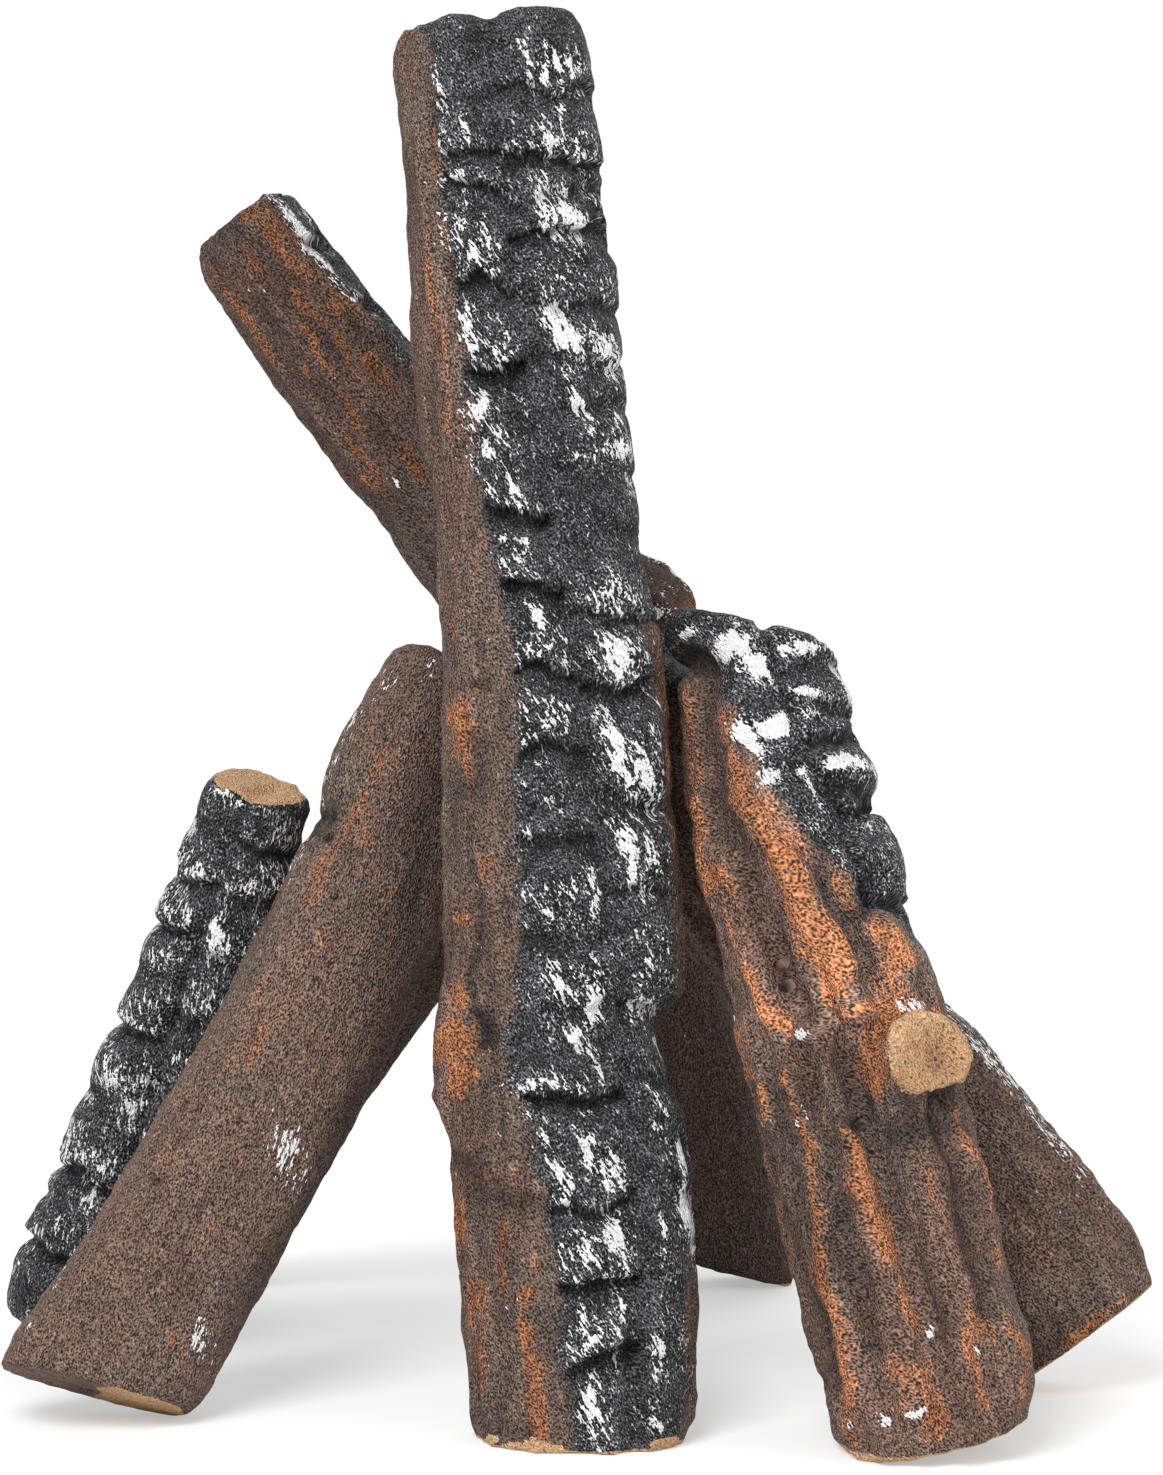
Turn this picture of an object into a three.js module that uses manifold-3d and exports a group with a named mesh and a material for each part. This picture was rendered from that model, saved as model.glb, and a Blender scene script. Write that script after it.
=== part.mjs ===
// A gas fire's set of seven loose cast logs, leaned on each other in a tepee, in millimetres with +Z up.
// Each log is cast refractory ceramic round a steel reinforcing rod, whose end shows in the sawn foot.
// In a log's own frame +Z runs from its foot to its top, -Y is its textured face and +X is that face's right.
// Tables of shares give places along a log's length, and across its face from -1 at the left edge to 1.
import * as THREE from 'three';
import { mergeVertices } from 'three/addons/utils/BufferGeometryUtils.js';
import Module from 'manifold-3d';

const wasm = await Module();
wasm.setup();

// Driving dimensions that the whole set shares
const castingClearance = 0.3;
const leaningGap = 0.4;
const rodRadius = 3;
const rodRecess = 1.5;
const rodShare = 0.86;
const footWear = 2;
const ringSpacing = 15;
const leastRingShare = 0.25;
const ringSlackShare = 0.2;
const footEdge = 3;
const topEdge = 6;
const topSlopeFromShare = 0.5;
const blockSpan = 28;
const approach = 90;
const approachStep = 6;
const contactTolerance = 0.02;
const trimDepth = 40;
const mitreReachShare = 0.2;

// The smooth clay-like sections: the exponent of the rounded front, and of the flatter back
const frontExponent = 2.35;
const backExponent = 2.9;
const sectionColumns = { plain: 3, ridge: 4, leftBlocks: 4, rightBlocks: 4, back: 8 };
const rodSides = 12;

const charcoal = new THREE.MeshStandardMaterial({ color: 0x3a3838, roughness: 0.95, metalness: 0 });
const barkBrown = new THREE.MeshStandardMaterial({ color: 0x5c463c, roughness: 0.95, metalness: 0 });
const barkRust = new THREE.MeshStandardMaterial({ color: 0x7a4a30, roughness: 0.95, metalness: 0 });
const rodSteel = new THREE.MeshStandardMaterial({ color: 0x6f6a66, roughness: 0.55, metalness: 0.9 });

// The tall front log: a broad strip of charred blocks in two columns beside a strip of brown bark
const tallFront = {
  name: 'tall_front_log',
  material: charcoal,
  length: 591,
  halfWidth: 50,
  frontDepth: 34,
  backDepth: 25,
  footX: 0,
  footY: 0,
  leanRight: -4,
  leanBack: 15,
  roll: 0,
  push: [0, 1],
  topSlope: 0.05,
  mitreSideShare: 1,
  mitreBackShare: 1,
  blockRise: 2,
  grooveDepth: 4,
  creaseDepth: 3,
  grooveHalf: 8,
  leftShares: [[0, 0.92], [0.1, 0.92], [0.2, 0.96], [0.26, 1.01], [0.29, 0.99], [0.33, 0.9], [0.42, 0.83],
    [0.53, 0.75], [0.6, 0.72], [0.66, 0.72], [0.71, 0.79], [0.76, 0.82], [0.88, 0.79], [1, 0.81]],
  rightShares: [[0, 0.87], [0.03, 0.95], [0.1, 1.02], [0.18, 1.05], [0.22, 1], [0.245, 0.92], [0.272, 0.79],
    [0.292, 0.83], [0.3, 1.08], [0.36, 1.12], [0.45, 1.12], [0.55, 1.08], [0.6, 0.99], [0.69, 0.97],
    [0.79, 0.93], [0.88, 0.89], [0.95, 0.86], [1, 0.8]],
  charEdgeShares: [[0, 0.1], [0.11, -0.12], [0.16, -0.04], [0.25, -0.4], [0.36, -0.3], [0.5, -0.33],
    [0.7, -0.38], [0.85, -0.42], [1, -0.58]],
  creaseShares: [[0, 0.42], [0.15, 0.48], [0.3, 0.36], [0.55, 0.32], [0.7, 0.2], [0.85, 0.06], [1, 0]],
  leftCrackShares: [0.055, 0.103, 0.158, 0.195, 0.232, 0.268, 0.292, 0.342, 0.41, 0.434, 0.478, 0.53, 0.588,
    0.638, 0.67, 0.702, 0.74, 0.81, 0.865, 0.895, 0.936],
  rightCrackShares: [0.05, 0.1, 0.162, 0.2, 0.248, 0.292, 0.373, 0.435, 0.515, 0.565, 0.625, 0.665, 0.713, 0.74,
    0.79, 0.832, 0.885, 0.94],
  // swells: share along, share across, rise as a share of the front depth, share long, share wide
  swellShares: [[0.21, -0.45, 0.16, 0.035, 0.4], [0.505, -0.85, 0.09, 0.02, 0.2],
    [0.3, -0.75, -0.09, 0.012, 0.16], [0.16, -0.2, -0.1, 0.03, 0.18], [0.76, -0.2, -0.14, 0.012, 0.2]],
};

// The long log that crosses behind it from the lower right to the upper left, and carries the others
const crossing = {
  name: 'crossing_log',
  material: barkBrown,
  length: 590,
  halfWidth: 40,
  frontDepth: 30,
  backDepth: 21,
  footX: 209.5,
  footY: 98,
  leanRight: -36.7,
  leanBack: 9.3,
  roll: 0,
  topSlope: 0,
  mitreSideShare: 0,
  mitreBackShare: 0,
  blockRise: 2.5,
  grooveDepth: 3,
  creaseDepth: 1,
  grooveHalf: 9,
  leftShares: [[0, 1.02], [0.35, 0.93], [0.7, 0.88], [0.9, 0.9], [0.97, 0.86], [1, 0.8]],
  rightShares: [[0, 1], [0.04, 1.1], [0.1, 1.12], [0.2, 1.04], [0.27, 0.92], [0.6, 0.9], [0.75, 0.74],
    [0.87, 0.53], [0.93, 0.5], [1, 0.48]],
  charEdgeShares: [[0, 0.5], [0.3, 0.55], [0.6, 0.4], [0.8, 0.25], [1, 0.2]],
  creaseShares: [[0, 0.8], [0.6, 0.74], [1, 0.66]],
  leftCrackShares: [0.08, 0.2, 0.3, 0.42, 0.53, 0.62, 0.71, 0.79, 0.86, 0.93],
  rightCrackShares: [0.14, 0.25, 0.36, 0.48, 0.58, 0.67, 0.75, 0.83, 0.9, 0.96],
  swellShares: [[0.885, 0.8, 0.2, 0.02, 0.3], [0.97, 0.2, 0.1, 0.03, 0.5]],
};

// The right front log: deep ridges of bark, a charred head and the stub of a sawn branch
const stubbed = {
  name: 'branch_stub_log',
  material: barkRust,
  length: 341,
  halfWidth: 42,
  frontDepth: 38,
  backDepth: 32,
  footX: 140,
  footY: -21,
  leanRight: -12.3,
  leanBack: 21.5,
  roll: 0,
  push: [0, 1],
  topSlope: -0.5,
  mitreSideShare: 0,
  mitreBackShare: 1,
  ridges: 5,
  ridgePitch: 20,
  ridgeDepth: 7,
  blockRise: 3,
  grooveDepth: 5,
  creaseDepth: 2,
  grooveHalf: 10,
  leftShares: [[0, 0.9], [0.12, 0.955], [0.22, 1], [0.7, 0.97], [0.82, 0.89], [0.91, 0.86], [0.935, 0.75],
    [0.96, 0.92], [1, 0.84]],
  rightShares: [[0, 0.99], [0.09, 1.13], [0.17, 1.04], [0.3, 1.04], [0.52, 1.02], [0.57, 0.96], [0.66, 0.84],
    [0.71, 0.86], [0.77, 0.92], [0.85, 0.79], [1, 0.75]],
  charEdgeShares: [[0, 0.75], [0.5, 0.6], [0.62, 0.4], [0.75, -0.1], [0.9, -0.6], [1, -0.9]],
  creaseShares: [[0, 0.9], [0.5, 0.8], [0.7, 0.66], [0.85, 0.3], [1, 0.1]],
  leftCrackShares: [0.66, 0.74, 0.82, 0.9, 0.96],
  rightCrackShares: [0.6, 0.735, 0.8, 0.88, 0.94],
  swellShares: [[0.1, 0.75, 0.14, 0.06, 0.3], [0.3, 0, -0.14, 0.16, 0.09], [0.36, -0.5, -0.12, 0.2, 0.07],
    [0.2, 0.42, -0.12, 0.12, 0.07], [0.55, -0.14, 0.14, 0.14, 0.12], [0.55, 0.3, -0.14, 0.09, 0.09]],
};
const branchStub = {
  radius: 19,
  baseRadius: 25,
  reach: 45,
  baseReach: 12,
  alongShare: 0.425,
  acrossShare: 0.41,
  turnRight: 20,
  sides: 14,
};

// The left front log: plain brown bark, its top tucked behind the tall one
const leftFront = {
  name: 'left_front_log',
  material: barkBrown,
  length: 343,
  halfWidth: 41,
  frontDepth: 30,
  backDepth: 23,
  footX: -198,
  footY: 27,
  leanRight: 29.6,
  leanBack: 24,
  roll: 0,
  push: [1, 0],
  topSlope: 0,
  mitreSideShare: 0.38,
  mitreBackShare: 0,
  blockRise: 0,
  grooveDepth: 0,
  creaseDepth: 0,
  grooveHalf: 8,
  leftShares: [[0, 0.96], [0.08, 0.87], [0.18, 0.76], [0.34, 0.74], [0.48, 0.7], [0.62, 0.75], [0.74, 0.82],
    [0.86, 0.98], [1, 0.93]],
  rightShares: [[0, 1.08], [0.19, 1.08], [0.33, 1.08], [0.53, 1.06], [0.7, 0.96], [0.8, 0.8], [0.9, 0.55],
    [1, 0.34]],
  charEdgeShares: [[0, -0.3], [1, -0.3]],
  creaseShares: [[0, 0.3], [1, 0.3]],
  leftCrackShares: [],
  rightCrackShares: [],
  swellShares: [[0.72, -0.8, -0.14, 0.04, 0.2], [0.3, 0.1, 0.08, 0.2, 0.3], [0.9, -0.6, 0.1, 0.06, 0.4]],
};

// The left rear log: short, charred all over, with a pale sawn top
const leftRear = {
  name: 'left_rear_log',
  material: charcoal,
  length: 259,
  halfWidth: 34,
  frontDepth: 27,
  backDepth: 19,
  beside: leftFront,
  footX: -12.4,
  footY: 154.6,
  leanRight: 18.8,
  leanBack: -9,
  roll: -25,
  push: [0, -1],
  topSlope: 0,
  mitreSideShare: 0,
  mitreBackShare: 0,
  blockRise: 3,
  grooveDepth: 4,
  creaseDepth: 3,
  grooveHalf: 10,
  leftShares: [[0, 1.13], [0.1, 1.18], [0.23, 1.02], [0.35, 0.98], [0.53, 0.87], [0.67, 0.81], [0.82, 0.74],
    [1, 0.66]],
  rightShares: [[0, 0.95], [0.3, 1], [0.6, 0.98], [0.8, 0.85], [0.93, 0.62], [1, 0.55]],
  charEdgeShares: [[0, -0.85], [1, -0.85]],
  creaseShares: [[0, 0.05], [1, 0.05]],
  leftCrackShares: [0.145, 0.225, 0.31, 0.43, 0.56, 0.67, 0.78, 0.87],
  rightCrackShares: [0.14, 0.26, 0.37, 0.48, 0.6, 0.71, 0.82, 0.93],
  swellShares: [[0.12, -0.7, 0.08, 0.05, 0.3], [0.48, -0.4, 0.08, 0.04, 0.3]],
};

// The two rear logs, which show their smooth backs between the front ones
const rearLeaning = {
  name: 'rear_leaning_log',
  material: barkBrown,
  length: 413,
  halfWidth: 28,
  frontDepth: 24,
  backDepth: 18,
  footX: -179,
  footY: 320,
  leanRight: 32.6,
  leanBack: -24.6,
  roll: 180,
  push: [0, -1],
  topSlope: 0,
  mitreSideShare: 0,
  mitreBackShare: 1,
  blockRise: 2,
  grooveDepth: 3,
  creaseDepth: 1.5,
  grooveHalf: 9,
  leftShares: [[0, 0.86], [0.14, 0.88], [0.4, 1], [0.8, 1], [1, 0.96]],
  rightShares: [[0, 0.9], [0.3, 1], [0.8, 0.98], [1, 0.9]],
  charEdgeShares: [[0, -0.3], [1, -0.4]],
  creaseShares: [[0, 0.3], [1, 0.2]],
  leftCrackShares: [0.1, 0.24, 0.38, 0.52, 0.66, 0.8, 0.93],
  rightCrackShares: [0.17, 0.31, 0.45, 0.59, 0.73, 0.87],
  swellShares: [],
};
const rearUpright = {
  name: 'rear_upright_log',
  material: barkBrown,
  length: 349,
  halfWidth: 28,
  frontDepth: 24,
  backDepth: 18,
  beside: rearLeaning,
  footX: 246,
  footY: 6,
  leanRight: -15.5,
  leanBack: -14.5,
  roll: 180,
  push: [0, -1],
  topSlope: 0,
  mitreSideShare: 2.1,
  mitreBackShare: 1,
  blockRise: 2,
  grooveDepth: 3,
  creaseDepth: 1.5,
  grooveHalf: 9,
  leftShares: [[0, 1.02], [0.28, 1.19], [0.42, 1.19], [0.6, 0.99], [0.8, 0.98], [1, 0.9]],
  rightShares: [[0, 0.96], [0.3, 1.02], [0.8, 0.98], [1, 0.9]],
  charEdgeShares: [[0, -0.4], [1, -0.3]],
  creaseShares: [[0, 0.2], [1, 0.3]],
  leftCrackShares: [0.12, 0.28, 0.44, 0.6, 0.76, 0.9],
  rightCrackShares: [0.2, 0.36, 0.52, 0.68, 0.84],
  swellShares: [],
};

const degrees = THREE.MathUtils.degToRad;

// A table's value at one place, eased between its rows
function along(shares, place) {
  const next = shares.findIndex((row) => row[0] >= place);
  if (next < 0) {
    return shares.at(-1)[1];
  }
  if (next === 0) {
    return shares[0][1];
  }
  const [from, low] = shares[next - 1];
  const [to, high] = shares[next];
  return THREE.MathUtils.lerp(low, high, THREE.MathUtils.smoothstep(place, from, to));
}

// The places of a log's rings: every row of its tables, with more between those that lie far apart
function ringPlaces(log) {
  const rows = [log.leftShares, log.rightShares, log.charEdgeShares, log.creaseShares]
    .flatMap((table) => table.map((row) => row[0]));
  const edges = [footEdge / log.length, 1 - topEdge / log.length];
  const wanted = [...rows, ...log.leftCrackShares, ...log.rightCrackShares, ...edges].sort((a, b) => a - b);
  const least = (leastRingShare * ringSpacing) / log.length;
  const kept = wanted.filter((place, index) => index === 0 || place - wanted[index - 1] > least);
  kept[kept.length - 1] = 1;
  const places = [];
  kept.forEach((place, index) => {
    if (index > 0) {
      const gap = place - kept[index - 1];
      const parts = Math.ceil((gap * log.length) / ringSpacing - ringSlackShare);
      for (let part = 1; part < parts; part += 1) {
        places.push(kept[index - 1] + (gap * part) / parts);
      }
    }
    places.push(place);
  });
  return places;
}

// How deep the crack nearest to a place is, from 1 in the crack to 0 between cracks
function crackAt(crackShares, place, log) {
  const nearest = Math.min(1, ...crackShares.map((crack) => Math.abs(crack - place)));
  return Math.max(0, 1 - (nearest * log.length) / log.grooveHalf);
}

// The height of the surface over the smooth section: bark ridges, charred blocks with their cracks and
// crease, and swells
function relief(log, place, across, column) {
  const { kind, turn, fullness } = column;
  let height = 0;
  if (kind === 'crease') {
    height -= log.creaseDepth * fullness;
  } else if (kind === 'leftBlocks' || kind === 'rightBlocks') {
    const crackShares = kind === 'leftBlocks' ? log.leftCrackShares : log.rightCrackShares;
    const depth = (log.grooveDepth + log.blockRise) * crackAt(crackShares, place, log);
    height += (log.blockRise - depth) * fullness;
  } else if (log.ridges) {
    height -= log.ridgeDepth * fullness * (1 - Math.abs(Math.cos(Math.PI * log.ridges * turn)));
  }
  for (const [centre, side, rise, long, wide] of log.swellShares) {
    const away = ((place - centre) / long) ** 2 + ((across - side) / wide) ** 2;
    height += log.frontDepth * rise * Math.exp(-away);
  }
  return height;
}

// The columns round a log at one place: each one's angle, its kind, how far it lies through its stretch of
// the section, and how full the stretch's relief is, which fades where the stretch is narrow
function columnsAt(log, place) {
  const edge = Math.asin(along(log.charEdgeShares, place));
  const crease = Math.asin(along(log.creaseShares, place));
  const barkColumns = log.ridges ? log.ridges * sectionColumns.ridge : sectionColumns.plain;
  const barkSpan = log.ridges ? log.ridges * log.ridgePitch : blockSpan;
  const stretches = [
    [-Math.PI / 2, edge, barkColumns, barkSpan, 'bark', 'bark'],
    [edge, crease, sectionColumns.leftBlocks, blockSpan, 'leftBlocks', 'bark'],
    [crease, Math.PI / 2, sectionColumns.rightBlocks, blockSpan, 'rightBlocks', 'crease'],
    [Math.PI / 2, (Math.PI * 3) / 2, sectionColumns.back, blockSpan, 'back', 'back'],
  ];
  return stretches.flatMap(([from, to, count, span, kind, firstKind]) => {
    const fullness = Math.min(1, ((to - from) * log.halfWidth) / span);
    return Array.from({ length: count }, (_, step) => ({
      angle: THREE.MathUtils.lerp(from, to, step / count),
      kind: step === 0 ? firstKind : kind,
      turn: step / count,
      fullness,
    }));
  });
}

// How far a foot's cut is turned from square: a share of 1 lies flush with the floor that way
function mitreAt(log, x, y, place) {
  const upright = new THREE.Vector3(0, 0, 1).transformDirection(turnOf(log).transpose());
  const drop = (log.mitreSideShare * upright.x * x + log.mitreBackShare * upright.y * y) / upright.z;
  return -drop * (1 - THREE.MathUtils.smoothstep(place, 0, mitreReachShare));
}

// One closed solid of a log in its own frame: rings from foot to top, and two end caps
function logGeometry(log) {
  const places = ringPlaces(log);
  const positions = [];
  const indices = [];
  let columnCount = 0;
  places.forEach((place) => {
    const columns = columnsAt(log, place);
    columnCount = columns.length;
    const left = log.halfWidth * along(log.leftShares, place);
    const right = log.halfWidth * along(log.rightShares, place);
    const footRound = footEdge * (1 - Math.min(1, (place * log.length) / footEdge));
    const topRound = topEdge * (1 - Math.min(1, ((1 - place) * log.length) / topEdge));
    const draw = 1 - (footRound + topRound) / log.frontDepth / 2;
    columns.forEach((column) => {
      const across = Math.sin(column.angle);
      const isFront = Math.cos(column.angle) > 0 && column.kind !== 'back';
      const exponent = isFront ? frontExponent : backExponent;
      const outline = (1 - Math.min(1, Math.abs(across)) ** exponent) ** (1 / exponent);
      const x = across * (across < 0 ? left : right);
      const y = outline * (isFront ? -log.frontDepth : log.backDepth);
      const out = isFront ? relief(log, place, across, column) : 0;
      const reach = Math.hypot(x, y);
      const grown = draw * (1 + (out * outline) / reach);
      const rise = log.topSlope * x * THREE.MathUtils.smoothstep(place, topSlopeFromShare, 1);
      positions.push(x * grown, y * grown, place * log.length + rise + mitreAt(log, x, y, place));
    });
  });
  const rings = places.length;
  for (let ring = 0; ring + 1 < rings; ring += 1) {
    for (let column = 0; column < columnCount; column += 1) {
      const next = (column + 1) % columnCount;
      const a = ring * columnCount + column;
      const b = ring * columnCount + next;
      const c = a + columnCount;
      const d = b + columnCount;
      indices.push(a, b, d, a, d, c);
    }
  }
  const footCentre = positions.length / 3;
  positions.push(0, 0, 0);
  const topCentre = positions.length / 3;
  positions.push(0, 0, log.length);
  const last = (rings - 1) * columnCount;
  for (let column = 0; column < columnCount; column += 1) {
    const next = (column + 1) % columnCount;
    indices.push(footCentre, next, column);
    indices.push(topCentre, last + column, last + next);
  }
  const geometry = new THREE.BufferGeometry();
  geometry.setAttribute('position', new THREE.Float32BufferAttribute(positions, 3));
  geometry.setIndex(indices);
  return geometry;
}

// Closed geometry to a solid and back
function solidOf(geometry, matrix) {
  const bare = geometry.clone();
  bare.deleteAttribute('normal');
  bare.deleteAttribute('uv');
  if (matrix) {
    bare.applyMatrix4(matrix);
  }
  const merged = mergeVertices(bare);
  return new wasm.Manifold(new wasm.Mesh({
    numProp: 3,
    vertProperties: new Float32Array(merged.attributes.position.array),
    triVerts: new Uint32Array(merged.index.array),
  }));
}

function geometryOf(solid) {
  const mesh = solid.getMesh();
  const geometry = new THREE.BufferGeometry();
  geometry.setAttribute('position', new THREE.BufferAttribute(mesh.vertProperties, 3));
  geometry.setIndex(new THREE.BufferAttribute(mesh.triVerts, 1));
  return geometry;
}

// A round bar along a log's axis, from one height to another
function barGeometry(radius, from, to) {
  const bar = new THREE.CylinderGeometry(radius, radius, to - from, rodSides);
  bar.rotateX(Math.PI / 2);
  bar.translate(0, 0, (from + to) / 2);
  return bar;
}

// The sawn stub of a branch: a flared base in the log and a straight neck, turned out to the right
function stubGeometry(log) {
  const outline = [
    new THREE.Vector2(0, 0),
    new THREE.Vector2(branchStub.baseRadius, 0),
    new THREE.Vector2(branchStub.baseRadius, branchStub.baseReach),
    new THREE.Vector2(branchStub.radius, (branchStub.baseReach + branchStub.reach) / 2),
    new THREE.Vector2(branchStub.radius, branchStub.reach),
    new THREE.Vector2(0, branchStub.reach),
  ];
  const stub = new THREE.LatheGeometry(outline, branchStub.sides);
  stub.rotateX(Math.PI);
  stub.rotateZ(degrees(branchStub.turnRight));
  stub.translate(branchStub.acrossShare * log.halfWidth, 0, branchStub.alongShare * log.length);
  return stub;
}

// A log's turn: its lean to the right and to the back, and its roll about its own length
function turnOf(log) {
  const lean = [Math.tan(degrees(log.leanRight)), Math.tan(degrees(log.leanBack))];
  const up = new THREE.Vector3(...lean, 1).normalize();
  const right = new THREE.Vector3(0, 1, 0).cross(up).normalize();
  const back = up.clone().cross(right);
  const turn = new THREE.Matrix4().makeBasis(right, back, up);
  return turn.multiply(new THREE.Matrix4().makeRotationZ(degrees(log.roll)));
}

// Where a log stands: on the floor at its foot, slid from afar along its push until it leans on those placed
// before it. A log beside another one has its foot's place from that one's foot.
function standOf(log, geometry, placed, feet) {
  const turn = turnOf(log);
  const turned = geometry.clone().applyMatrix4(turn);
  turned.computeBoundingBox();
  const stand = new THREE.Vector3(log.footX, log.footY, -turned.boundingBox.min.z - footWear);
  if (log.beside) {
    stand.x += feet.get(log.beside).x;
    stand.y += feet.get(log.beside).y;
  }
  if (!log.push) {
    return turn.setPosition(stand);
  }
  const way = new THREE.Vector3(log.push[0], log.push[1], 0);
  const spot = (distance) => turn.clone().setPosition(stand.clone().addScaledVector(way, distance));
  const touches = (distance) => {
    const solid = solidOf(geometry, spot(distance));
    return placed.some((other) => !solid.intersect(other).isEmpty());
  };
  let free = -approach;
  let met = free;
  while (met < approach && !touches(met)) {
    free = met;
    met += approachStep;
  }
  while (met - free > contactTolerance) {
    const middle = (met + free) / 2;
    if (touches(middle)) {
      met = middle;
    } else {
      free = middle;
    }
  }
  return spot(free - leaningGap);
}

function buildSet() {
  const set = new THREE.Group();
  const placed = [];
  const feet = new Map();
  for (const log of [crossing, leftFront, leftRear, rearLeaning, rearUpright, stubbed, tallFront]) {
    let body = solidOf(logGeometry(log));
    if (log === stubbed) {
      body = body.add(solidOf(stubGeometry(log)));
    }
    const place = standOf(log, geometryOf(body), placed, feet);
    placed.push(solidOf(geometryOf(body), place));
    feet.set(log, new THREE.Vector3().setFromMatrixPosition(place));

    const floor = new THREE.BoxGeometry(2 * log.length, 2 * log.length, trimDepth);
    floor.translate(place.elements[12], place.elements[13], -trimDepth / 2);
    floor.applyMatrix4(place.clone().invert());
    const rodTop = rodShare * log.length;
    const bore = barGeometry(rodRadius + castingClearance, -footEdge, rodTop + castingClearance);
    const casting = body.subtract(solidOf(floor)).subtract(solidOf(bore));

    const group = new THREE.Group();
    group.applyMatrix4(place);
    const logMesh = new THREE.Mesh(geometryOf(casting), log.material);
    logMesh.name = log.name;
    const rodMesh = new THREE.Mesh(barGeometry(rodRadius, rodRecess, rodTop), rodSteel);
    rodMesh.name = log.name.replace('_log', '_rod');
    group.add(logMesh, rodMesh);
    set.add(group);
  }
  return set;
}

// The set stands with the middle of its footprint at the origin
const logSet = buildSet();
const bounds = new THREE.Box3().setFromObject(logSet, true);
const middle = bounds.getCenter(new THREE.Vector3());
logSet.children.forEach((group) => {
  group.position.x -= middle.x;
  group.position.y -= middle.y;
});

export default logSet;
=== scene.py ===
"""A gas log set: seven cast logs painted as bark, char and ash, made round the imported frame."""

import itertools
import math

import bmesh
import bpy
import numpy as np
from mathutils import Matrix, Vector


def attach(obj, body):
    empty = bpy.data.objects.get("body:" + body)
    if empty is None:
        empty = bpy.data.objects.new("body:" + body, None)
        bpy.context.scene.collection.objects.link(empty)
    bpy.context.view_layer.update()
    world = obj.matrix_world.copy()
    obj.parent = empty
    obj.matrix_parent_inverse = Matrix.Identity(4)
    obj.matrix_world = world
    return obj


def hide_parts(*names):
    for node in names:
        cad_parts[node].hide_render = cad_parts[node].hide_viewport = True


bl_info = {
    "name": "Gas log set",
    "version": (1, 0, 0),
    "blender": (4, 5, 0),
    "location": "3D View > Sidebar > Log set",
    "description": "Makes a set of cast logs painted as bark, char and ash",
    "category": "Object",
}

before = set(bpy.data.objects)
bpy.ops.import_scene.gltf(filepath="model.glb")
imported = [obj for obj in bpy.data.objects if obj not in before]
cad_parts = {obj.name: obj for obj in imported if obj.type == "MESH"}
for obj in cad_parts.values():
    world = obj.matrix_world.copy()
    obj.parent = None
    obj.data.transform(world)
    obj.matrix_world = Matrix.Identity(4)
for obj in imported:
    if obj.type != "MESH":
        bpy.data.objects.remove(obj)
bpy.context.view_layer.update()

MM = 0.001

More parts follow.
